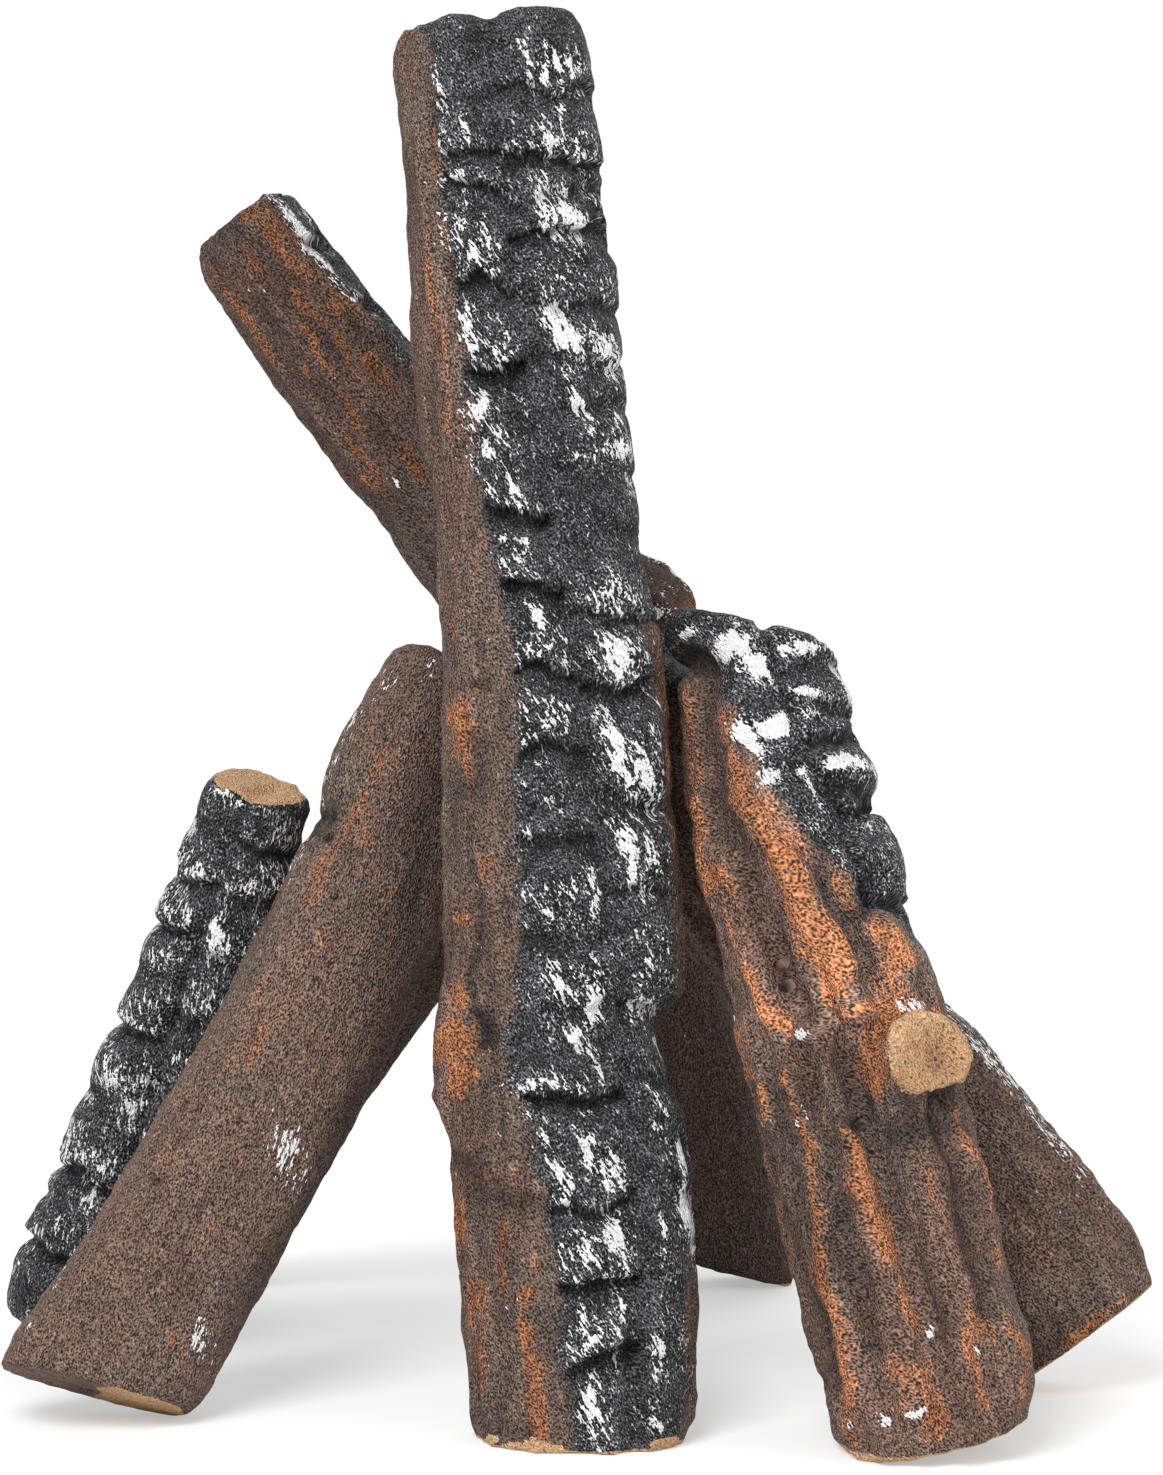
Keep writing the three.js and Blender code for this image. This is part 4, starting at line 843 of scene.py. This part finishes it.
    def saw_ends(self):
        """Bare sawn ends, the foot's worn rim and the chips on it."""
        foot = smooth_step(-self.normals[:, 2], 0.75, 0.92) * smooth_step(-self.along, -0.14, -0.08)
        self.sawn = foot * smooth_step(self.across + 0.12 * self.wander - self.log["sawn_from"], -0.1, 0.1)
        if self.log["pale_top"]:
            top = smooth_step(self.normals[:, 2], 0.6, 0.85) * smooth_step(self.along, 0.93, 0.97)
            self.sawn = np.maximum(self.sawn, top)
        self.rim = smooth_step(self.log["rim"] + 0.7 * self.wander - self.floor_gap, -0.4, 0.8) * (1 - foot)
        self.sawn = np.maximum(self.sawn, smooth_step(self.strokes("chips") * self.front, 0.45, 0.6))

    def dish_stub(self):
        """The stub's sawn face, dished and worn with painted shade in its hollow, on a neck that flares into
        the bark, with painted shadow beneath it.
        """
        turn = math.radians(STUB_TURN)
        out = np.array((math.sin(turn), -math.cos(turn), 0))
        from_centre = self.local - np.array(STUB_CENTRE)
        raised = from_centre[:, 2]
        reach = from_centre @ out
        away = np.linalg.norm(from_centre - reach[:, None] * out, axis=1)
        beside = from_centre @ np.array((math.cos(turn), math.sin(turn), 0))
        face = smooth_step(reach, STUB_REACH - 8, STUB_REACH - 3)
        face = face * smooth_step(STUB_RADIUS + 2.6 * self.wander - away, -2, 2)
        self.sawn = np.maximum(self.sawn, face)
        hollow = np.exp(-((beside - 4) / 10) ** 2 - ((raised + 1) / 11) ** 2)
        edge_wear = 0.55 * smooth_step(-beside - 0.5 * raised + 5 * self.wander, 8, 18)
        # Wear on the face's left edge, and painted shade in its dished hollow
        self.wear_and_hollow_shade = np.clip(0.85 * hollow + edge_wear, 0, 1) * face
        neck = smooth_step(reach, 14, 32) * np.exp(-((away - 22) / 6) ** 2)
        self.rust = np.maximum(self.rust, 0.9 * neck * smooth_step(raised - 0.6 * beside, -10, 8))
        self.lift += face * (1.5 * np.exp(-((away - 16) / 4) ** 2) - 5.5 * hollow)
        # Painted shadow in the hollow beneath the stub's neck
        below = np.exp(-((raised + 27) / 8) ** 2) * smooth_step(reach, 15, 30)
        below = below * smooth_step(-np.abs(from_centre[:, 0] - 8), -26, -10)
        self.lift -= 3 * below
        self.painted_shade = np.maximum(self.painted_shade, 0.55 * below)

    def store_on(self, mesh):
        """Stores the fields. The foot and the bore stay where the CAD has them."""
        keep = smooth_step(self.local[:, 2], 0.5, 6) * smooth_step(self.floor_gap, 0, 7)
        store(mesh, "place", self.local * MM, "FLOAT_VECTOR")
        store(mesh, "lift", self.lift * keep * MM)
        store(mesh, "keep", keep)
        for name in ("char", "ash", "rust", "painted_shade", "rim", "wear_and_hollow_shade", "tone"):
            store(mesh, name, getattr(self, name))
        store(mesh, "sawn", np.clip(self.sawn, 0, 1))


def paint_log(mesh, log, log_frame, relief):
    """Works out a log's marks and relief in turn and stores them on its mesh."""
    surface = PaintedSurface(mesh, log, log_frame, relief)
    surface.burn()
    surface.raise_blocks()
    surface.grow_bark()
    surface.brush()
    if log["pale_rim"]:
        surface.rim_top()
    surface.saw_ends()
    if log["body"] == "branch_stub":
        surface.dish_stub()
    surface.store_on(mesh)


def relief_tree():
    """Moves a log's surface by its painted relief and by the lumps and pebbles of the casting."""
    tree = bpy.data.node_groups.new("Casting relief", "GeometryNodeTree")
    faces = tree.interface
    faces.new_socket(name="Geometry", in_out="INPUT", socket_type="NodeSocketGeometry")
    for name in ("Lump height", "Lump size", "Pebble height", "Pebble size"):
        socket = faces.new_socket(name=name, in_out="INPUT", socket_type="NodeSocketFloat")
        socket.subtype = "DISTANCE"
    faces.new_socket(name="Seed", in_out="INPUT", socket_type="NodeSocketFloat")
    faces.new_socket(name="Material", in_out="INPUT", socket_type="NodeSocketMaterial")
    faces.new_socket(name="Geometry", in_out="OUTPUT", socket_type="NodeSocketGeometry")
    web = Web(tree)
    given = web.add("NodeGroupInput", output=None)
    inputs = {socket.name: Wire(web, socket) for socket in given.outputs if socket.name}

    def named(name, kind="FLOAT"):
        return web.add("GeometryNodeInputNamedAttribute", {"data_type": kind}, {"Name": name})

    def lumps(kind, stretch):
        """Noise whose patches are as far apart as the input says, and swing over about its height."""
        place = web.vector("MULTIPLY", {0: named("place", "FLOAT_VECTOR"), 1: stretch})
        scale = web.add(web.maths, {"operation": "DIVIDE"}, {0: 1, 1: inputs[f"{kind} size"]})
        noise = web.add("ShaderNodeTexNoise", {"noise_dimensions": "4D"},
                        {"Vector": place, "W": inputs["Seed"], "Scale": scale, "Detail": 1.5})
        return (noise - 0.5) * inputs[f"{kind} height"] * 2.4

    rise = (lumps("Lump", (1, 1, 0.6)) + lumps("Pebble", (1, 1, 0.75))) * named("keep") + named("lift")
    normal = web.add("GeometryNodeInputNormal")
    offset = web.vector("SCALE", {0: normal, "Scale": rise})
    moved = web.add("GeometryNodeSetPosition", inputs={"Geometry": inputs["Geometry"], "Offset": offset})
    real = web.add("GeometryNodeRealizeInstances", inputs={"Geometry": moved})
    painted = web.add("GeometryNodeSetMaterial", inputs={"Geometry": real, "Material": inputs["Material"]})
    web.add("NodeGroupOutput", inputs={"Geometry": painted}, output=None)
    return tree


def casting_material(name, log, paint):
    """Painted refractory: stippled bark with rust, charred blocks, brushed ash and sawn ends, with painted
    shade and highlights.
    """
    material, web = new_surface(name)

    def painted(field):
        return web.add("ShaderNodeAttribute", {"attribute_name": field}, output=2)

    def tone(colour, share=1.0):
        return rgba(tuple(min(1, c * log["brown"] * share) for c in colour))

    place = web.add("ShaderNodeAttribute", {"attribute_name": "place"}, output=1)
    slant = math.radians(log["slant"])
    upright = 0.05

    def grain_of(size, detail, layer, long=None, turn=slant):
        """Noise in patches of a size, drawn out by a length where one is given."""
        drawn = place if long is None else web.stretched(place, turn, long)
        return web.field(drawn, size, detail, log["seed"] + layer)

    grain = grain_of(0.0004, 0, 0, 1.6)
    hair = grain_of(0.0007, 1, 5, 4)
    ragged = grain_of(0.0022, 2, 6, 2)
    pits = grain_of(0.0008, 1, 1, 1.4)
    blotch = grain_of(0.007, 3, 2)
    cloud = grain_of(0.03, 2, 3)
    streak = grain_of(0.0035, 2, 4, 6, upright)
    strand = grain_of(0.0016, 1, 7, 8, upright)
    char_here, ash_here, rust_here, wear_and_hollow_shade, painted_shade = map(painted, ("char", "ash", "rust", "wear_and_hollow_shade", "painted_shade"))

    # Bark
    grey = (cloud.step(-0.5, 0.6) * 0.8).most(log["grey"])
    bark = web.mix(grey, tone(paint.bark), tone(paint.bark_grey))
    bark = web.mix((streak * 0.6 + blotch * 0.5).step(0, -1.3) * 0.45, bark, tone(paint.bark_deep))
    haze = rust_here * 1.5 + (cloud * 0.5 + blotch * 0.3 + streak * 0.3) * log["rust_scatter"]
    rusty = (haze + grain * 0.2 + pits * 0.15 + ragged * 0.15 + streak * 0.2).step(0.4, 1.1)
    bark = web.mix(rusty * log["rust_depth"], bark, tone(paint.rust))
    bark = web.mix((pits * 0.8 + blotch * 0.3).step(-0.95, -1.5) * 0.5, bark, tone(paint.bark_deep, 0.45))
    bark = web.mix(char_here.step(0.05, 0.5) * 0.55, bark, tone(paint.bark_grey, 1.1))
    # The stored tone holds the bark's own tone along the log with the painted shade and highlights; the
    # raised strands are lighter, partly grain and partly painted light
    bark = web.scaled(bark, painted("tone") * (strand * (0.14 * log["fibre"]) + 1))

    # Char, with ash in its grain
    patches = (blotch * 0.7 + ragged * 0.3 + grain * 0.4).step(-1, 1)
    char = web.mix(patches, rgba(paint.char_deep), rgba(paint.char))
    near_ash = ash_here + (blotch * 0.3 + cloud * 0.2 + 0.2) * log["ash_scatter"]
    lit_grain = (hair * 0.6 + grain * 0.4 + near_ash * 0.9).step(0.5, 1.35) * 0.8
    char = web.mix(lit_grain, char, rgba(paint.char_light))
    charred = (char_here + blotch * 0.07 + ragged * 0.06 + hair * 0.05).step(0.38, 0.62)
    colour = web.mix(charred, bark, char)
    # Painted shade: the deep char black mixed in where shade falls in hollows, grooves, dents, the gutter and
    # under the stub
    colour = web.mix(painted_shade.step(0, 1) * 0.88, colour, rgba(paint.char_deep))
    colour = web.scaled(colour, (grain * (charred * 0.25 + 0.98) + hair * 0.18 + 1.07).most(0.15))
    torn = hair * ((1 - charred) * ash_here * 0.5 + log["hair"])
    ash_field = (ash_here * 1.3).most(near_ash * charred * 0.9) + torn + ragged * 0.3
    ashy = (ash_field + grain * 0.15).step(0.8, 0.92) * (1 - painted_shade * 0.9)
    colour = web.mix(ashy * 0.95, colour, rgba(paint.ash))

    # Sawn ends, and the foot's worn rim
    # The stub's face is browner and darker where it is worn and where shade is painted into its hollow
    sawn_tone = web.mix((blotch.step(0, 1.2) * 0.3).most(wear_and_hollow_shade * 0.45), rgba(paint.sawn), rgba(paint.rust))
    sawn_tone = web.mix((pits - wear_and_hollow_shade * 0.5).step(-0.6, -1.2) * 0.75, sawn_tone, tone(paint.bark_deep))
    sawn_tone = web.scaled(sawn_tone, grain * 0.25 + 1.04 - wear_and_hollow_shade * 0.28)
    sawn = (painted("sawn") + grain * 0.1 + blotch * 0.06).step(0.4, 0.6)
    sawn = sawn.most((painted("rim") + blotch * 0.12 + grain * 0.1).step(0.4, 0.6))
    colour = web.mix(sawn, colour, sawn_tone)

    height = grain * 0.3 + pits * 0.2 + blotch * 0.3 + ragged * 0.12 + hair * charred * 0.1 + ashy * 0.12
    height = height + strand * (1 - charred) * (0.2 * log["fibre"])
    bump = web.add("ShaderNodeBump", inputs={"Strength": 1.0, "Distance": 0.0017, "Height": height})
    shader = web.add("ShaderNodeBsdfPrincipled", inputs={
        "Base Color": colour, "Roughness": 0.9, "Specular IOR Level": 0.25, "Normal": bump})
    web.add("ShaderNodeOutputMaterial", inputs={"Surface": shader}, output=None)
    return material


def steel_material(paint):
    """Dull drawn steel with a little rust."""
    material, web = new_surface("Rod steel")
    place = web.add("ShaderNodeTexCoord", output=3)
    blotch = web.noise(place, 0.004, 3, 0.6, 1)
    fine = web.noise(place, 0.0006, 2, 0.6, 2)
    colour = web.mix(blotch.step(0.5, 0.7) * 0.7, rgba(paint.steel), rgba(paint.rust))
    rough = blotch.step(0.3, 0.7) * 0.3 + 0.45
    bump = web.add("ShaderNodeBump", inputs={"Strength": 0.4, "Distance": 0.0003, "Height": fine})
    metallic = 1 - blotch.step(0.5, 0.7) * 0.6
    shader = web.add("ShaderNodeBsdfPrincipled", inputs={
        "Base Color": colour, "Roughness": rough, "Metallic": metallic, "Normal": bump})
    web.add("ShaderNodeOutputMaterial", inputs={"Surface": shader}, output=None)
    return material


def cut_bore(piece, log_frame, rod_name):
    """Opens the bore that the log's rod lies in: a round hole in the foot and a blind tube above it."""
    rod = log_frame.local(np.array([v.co[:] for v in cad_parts[rod_name].data.vertices]))
    radius = np.hypot(rod[:, 0], rod[:, 1]).max() + BORE_PLAY
    top = rod[:, 2].max() + BORE_END
    shape = bmesh.new()
    shape.from_mesh(piece.data)
    local = log_frame.local(np.array([v.co[:] for v in shape.verts]))
    cleared = 0.4
    near_foot = 12
    inner = (np.hypot(local[:, 0], local[:, 1]) < radius + cleared) & (local[:, 2] < near_foot)
    shape.verts.ensure_lookup_table()
    bmesh.ops.delete(shape, geom=[shape.verts[index] for index in np.flatnonzero(inner)], context="VERTS")
    mouth = [edge for edge in shape.edges if edge.is_boundary]
    if len(mouth) < FEWEST_MOUTH_EDGES:
        raise RuntimeError(f"{piece.name}: the foot has no mouth for the rod's bore")

    def placed(x, y, z):
        return Vector(log_frame.foot + np.array((x, y, z)) * MM @ log_frame.axes)

    # The tube's sides and its blind end, edge by edge, so that the faces come in the same order each run
    centre = shape.verts.new(placed(0, 0, top))
    upper = {}
    for edge in mouth:
        for vert in edge.verts:
            if vert not in upper:
                x, y, z = log_frame.local(np.array(vert.co[:]))
                share = radius / math.hypot(x, y)
                vert.co = placed(x * share, y * share, z)
                upper[vert] = shape.verts.new(placed(x * share, y * share, top))
        first, second = edge.verts
        shape.faces.new((first, second, upper[second], upper[first]))
        shape.faces.new((upper[first], upper[second], centre))
    bmesh.ops.recalc_face_normals(shape, faces=shape.faces)
    shape.to_mesh(piece.data)
    shape.free()


def soften(piece, log, log_frame, relief):
    """Rounds the CAD's facets off, and levels its blocks, which get finer ones, away from ends and edges."""
    surface = Surface(piece.data, log, log_frame)
    height = surface.local[:, 2]
    near_end = np.minimum(height, surface.length - height)
    all_over = 0.25 + 0.75 * smooth_step(near_end, 2, 12)
    inside = (surface.across - surface.table("char")) * surface.half_width
    blocks = smooth_step(inside, -8, 2) * smooth_step(-surface.local[:, 1], 2, 12)
    blocks = blocks * smooth_step(near_end, 8, 16) * smooth_step(-surface.across, -0.95, -0.8)
    for name, weight, passes in (("all", all_over, relief.softening), ("blocks", blocks, relief.levelling)):
        group = piece.vertex_groups.new(name=name)
        for index in np.flatnonzero(weight > 0.01):
            group.add([int(index)], float(weight[index]), "REPLACE")
        smooth = piece.modifiers.new(name, "SMOOTH")
        smooth.factor = 0.5
        smooth.iterations = passes
        smooth.vertex_group = name
    applied(piece)
    piece.vertex_groups.clear()


def make_log(name, scene):
    """Makes one log round its CAD node, in fine relief and paint."""
    log = LOGS[name]
    relief = scene.casting_relief
    log_frame = LogFrame(log["rod"], log["roll"])
    mesh = closed_copy(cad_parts[name], log_frame)
    piece = bpy.data.objects.new(name.replace("_log", "_casting"), mesh)
    scene.collection.objects.link(piece)
    rebuild = piece.modifiers.new("Cells", "REMESH")
    rebuild.mode = "VOXEL"
    rebuild.voxel_size = relief.cell
    rebuild.use_smooth_shade = True
    applied(piece)
    soften(piece, log, log_frame, relief)
    finer = piece.modifiers.new("Finer", "SUBSURF")
    finer.levels = 1
    finer.render_levels = 1
    applied(piece)
    paint_log(piece.data, log, log_frame, relief)
    tree = bpy.data.node_groups.get("Casting relief") or relief_tree()
    surface = piece.modifiers.new("Relief", "NODES")
    surface.node_group = tree
    given = {
        "Lump height": relief.lump, "Lump size": relief.lump_size, "Pebble height": relief.pebble,
        "Pebble size": relief.pebble_size, "Seed": float(log["seed"]),
        "Material": casting_material(name.replace("_", " ").capitalize(), log, scene.casting_paint),
    }
    for item in tree.interface.items_tree:
        if item.in_out == "INPUT" and item.name in given:
            surface[item.identifier] = given[item.name]
    applied(piece)
    cut_bore(piece, log_frame, log["rod"])
    piece.data.polygons.foreach_set("use_smooth", [True] * len(piece.data.polygons))
    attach(piece, log["body"])
    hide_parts(name)


def make_logs(names, context):
    for name in names:
        make_log(name, context.scene)
    return {"FINISHED"}


class LOGSET_OT_tall_front(bpy.types.Operator):
    """Make the tall charred log in the middle"""
    bl_idname = "logset.tall_front"
    bl_label = "Tall front log"

    def execute(self, context):
        return make_logs(["tall_front_log"], context)


class LOGSET_OT_branch_stub(bpy.types.Operator):
    """Make the right front log with its ridged bark, charred head and branch stub"""
    bl_idname = "logset.branch_stub"
    bl_label = "Branch stub log"

    def execute(self, context):
        return make_logs(["branch_stub_log"], context)


class LOGSET_OT_left_rear(bpy.types.Operator):
    """Make the short charred log with the sawn top"""
    bl_idname = "logset.left_rear"
    bl_label = "Left rear log"

    def execute(self, context):
        return make_logs(["left_rear_log"], context)


class LOGSET_OT_bark_logs(bpy.types.Operator):
    """Make the crossing log and the left front log"""
    bl_idname = "logset.bark_logs"
    bl_label = "Bark logs"

    def execute(self, context):
        return make_logs(BARK_LOGS, context)


class LOGSET_OT_rear_logs(bpy.types.Operator):
    """Make the two logs at the back"""
    bl_idname = "logset.rear_logs"
    bl_label = "Rear logs"

    def execute(self, context):
        return make_logs(REAR_LOGS, context)


class LOGSET_OT_rods(bpy.types.Operator):
    """Give the reinforcing rods their steel"""
    bl_idname = "logset.rods"
    bl_label = "Reinforcing rods"

    def execute(self, context):
        steel = steel_material(context.scene.casting_paint)
        for log in LOGS.values():
            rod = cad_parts[log["rod"]]
            rod.data.materials.clear()
            rod.data.materials.append(steel)
        return {"FINISHED"}


class LOGSET_OT_studio(bpy.types.Operator):
    """Make the floor, the light and the camera"""
    bl_idname = "logset.studio"
    bl_label = "Floor, light and camera"

    def execute(self, context):
        scene = context.scene
        studio = scene.studio_settings
        make_floor(scene, studio)
        make_light(scene, studio)
        make_camera(scene, studio)
        return {"FINISHED"}


def make_floor(scene, studio):
    """A pale round floor that looks white to the camera but for the set's shadow."""
    shape = bmesh.new()
    bmesh.ops.create_circle(shape, cap_ends=True, segments=96, radius=studio.floor_radius)
    mesh = bpy.data.meshes.new("Floor")
    shape.to_mesh(mesh)
    shape.free()
    floor = bpy.data.objects.new("Floor", mesh)
    scene.collection.objects.link(floor)
    material, web = new_surface("Floor")
    matt = web.add("ShaderNodeBsdfPrincipled", inputs={
        "Base Color": rgba(studio.floor), "Roughness": 0.9, "Specular IOR Level": 0.1})
    white = web.add("ShaderNodeEmission", inputs={"Color": (1, 1, 1, 1), "Strength": 1.0})
    away = web.vector("LENGTH", {0: web.add("ShaderNodeTexCoord", output=3)}, 1)
    seen = web.add("ShaderNodeLightPath", output="Is Camera Ray")
    far = away.step(studio.shadow_radius * 0.5, studio.shadow_radius)
    share = (far * (1 - studio.white) + studio.white) * seen
    shader = web.add("ShaderNodeMixShader", inputs={0: share, 1: matt, 2: white})
    web.add("ShaderNodeOutputMaterial", inputs={"Surface": shader}, output=None)
    mesh.materials.append(material)


def make_light(scene, studio):
    """Soft light from all round, white to the camera and in reflections, and three large lamps."""
    world = bpy.data.worlds.new("Studio")
    scene.world = world
    world.use_nodes = True
    world.node_tree.nodes.clear()
    web = Web(world.node_tree)
    path = web.add("ShaderNodeLightPath", output=None)
    seen = Wire(web, path.outputs["Is Camera Ray"]).most(Wire(web, path.outputs["Is Glossy Ray"]))
    seen = seen.most(Wire(web, path.outputs["Is Transmission Ray"]))
    strength = seen * (1 - studio.sky) + studio.sky
    shader = web.add("ShaderNodeBackground", inputs={"Color": (1, 1, 1, 1), "Strength": strength})
    web.add("ShaderNodeOutputWorld", inputs={"Surface": shader}, output=None)
    lamps = (
        ("Key", studio.key, 1.6, (-0.9, -2.0, 2.3)),
        ("Fill", studio.fill, 1.4, (1.9, -1.4, 1.0)),
        ("Back", studio.back, 1.8, (0.5, 2.3, 1.7)),
    )
    for name, power, size, place in lamps:
        lamp = bpy.data.lights.new(name, "AREA")
        lamp.energy = power
        lamp.size = size
        holder = bpy.data.objects.new(name, lamp)
        holder.location = place
        holder.rotation_euler = (Vector(LIT_POINT) - Vector(place)).to_track_quat("-Z", "Y").to_euler()
        scene.collection.objects.link(holder)
    scene.view_settings.view_transform = "Standard"


def make_camera(scene, studio):
    foot = LogFrame("tall_front_rod", 0).foot
    data = bpy.data.cameras.new("Camera")
    data.sensor_fit = "VERTICAL"
    data.sensor_height = 36
    data.lens = studio.lens
    camera = bpy.data.objects.new("Camera", data)
    camera.location = Vector(foot) + Vector(CAMERA_FROM_FOOT)
    camera.rotation_euler = (math.pi / 2 - studio.pitch, 0, 0)
    scene.collection.objects.link(camera)
    scene.camera = camera


class LOGSET_PT_panel(bpy.types.Panel):
    """Lists the operators and their settings"""
    bl_idname = "LOGSET_PT_panel"
    bl_label = "Log set"
    bl_space_type = "VIEW_3D"
    bl_region_type = "UI"
    bl_category = "Log set"

    def draw(self, context):
        for operator in OPERATORS:
            self.layout.operator(operator.bl_idname)
        for group in GROUPS:
            settings = getattr(context.scene, group)
            for name in settings.bl_rna.properties.keys():
                if name not in ("rna_type", "name"):
                    self.layout.prop(settings, name)


OPERATORS = (LOGSET_OT_studio, LOGSET_OT_tall_front, LOGSET_OT_branch_stub, LOGSET_OT_left_rear,
             LOGSET_OT_bark_logs, LOGSET_OT_rear_logs, LOGSET_OT_rods)
GROUPS = {"casting_relief": CastingRelief, "casting_paint": CastingPaint, "studio_settings": StudioSettings}


def register():
    for part in (*GROUPS.values(), *OPERATORS, LOGSET_PT_panel):
        bpy.utils.register_class(part)
    for name, group in GROUPS.items():
        setattr(bpy.types.Scene, name, bpy.props.PointerProperty(type=group))


def unregister():
    for name in GROUPS:
        delattr(bpy.types.Scene, name)
    for part in (LOGSET_PT_panel, *OPERATORS, *GROUPS.values()):
        bpy.utils.unregister_class(part)


def main():
    register()
    bpy.ops.logset.studio()
    bpy.ops.logset.tall_front()
    bpy.ops.logset.branch_stub()
    bpy.ops.logset.left_rear()
    bpy.ops.logset.bark_logs()
    bpy.ops.logset.rear_logs()
    bpy.ops.logset.rods()


if __name__ == "__main__":
    main()
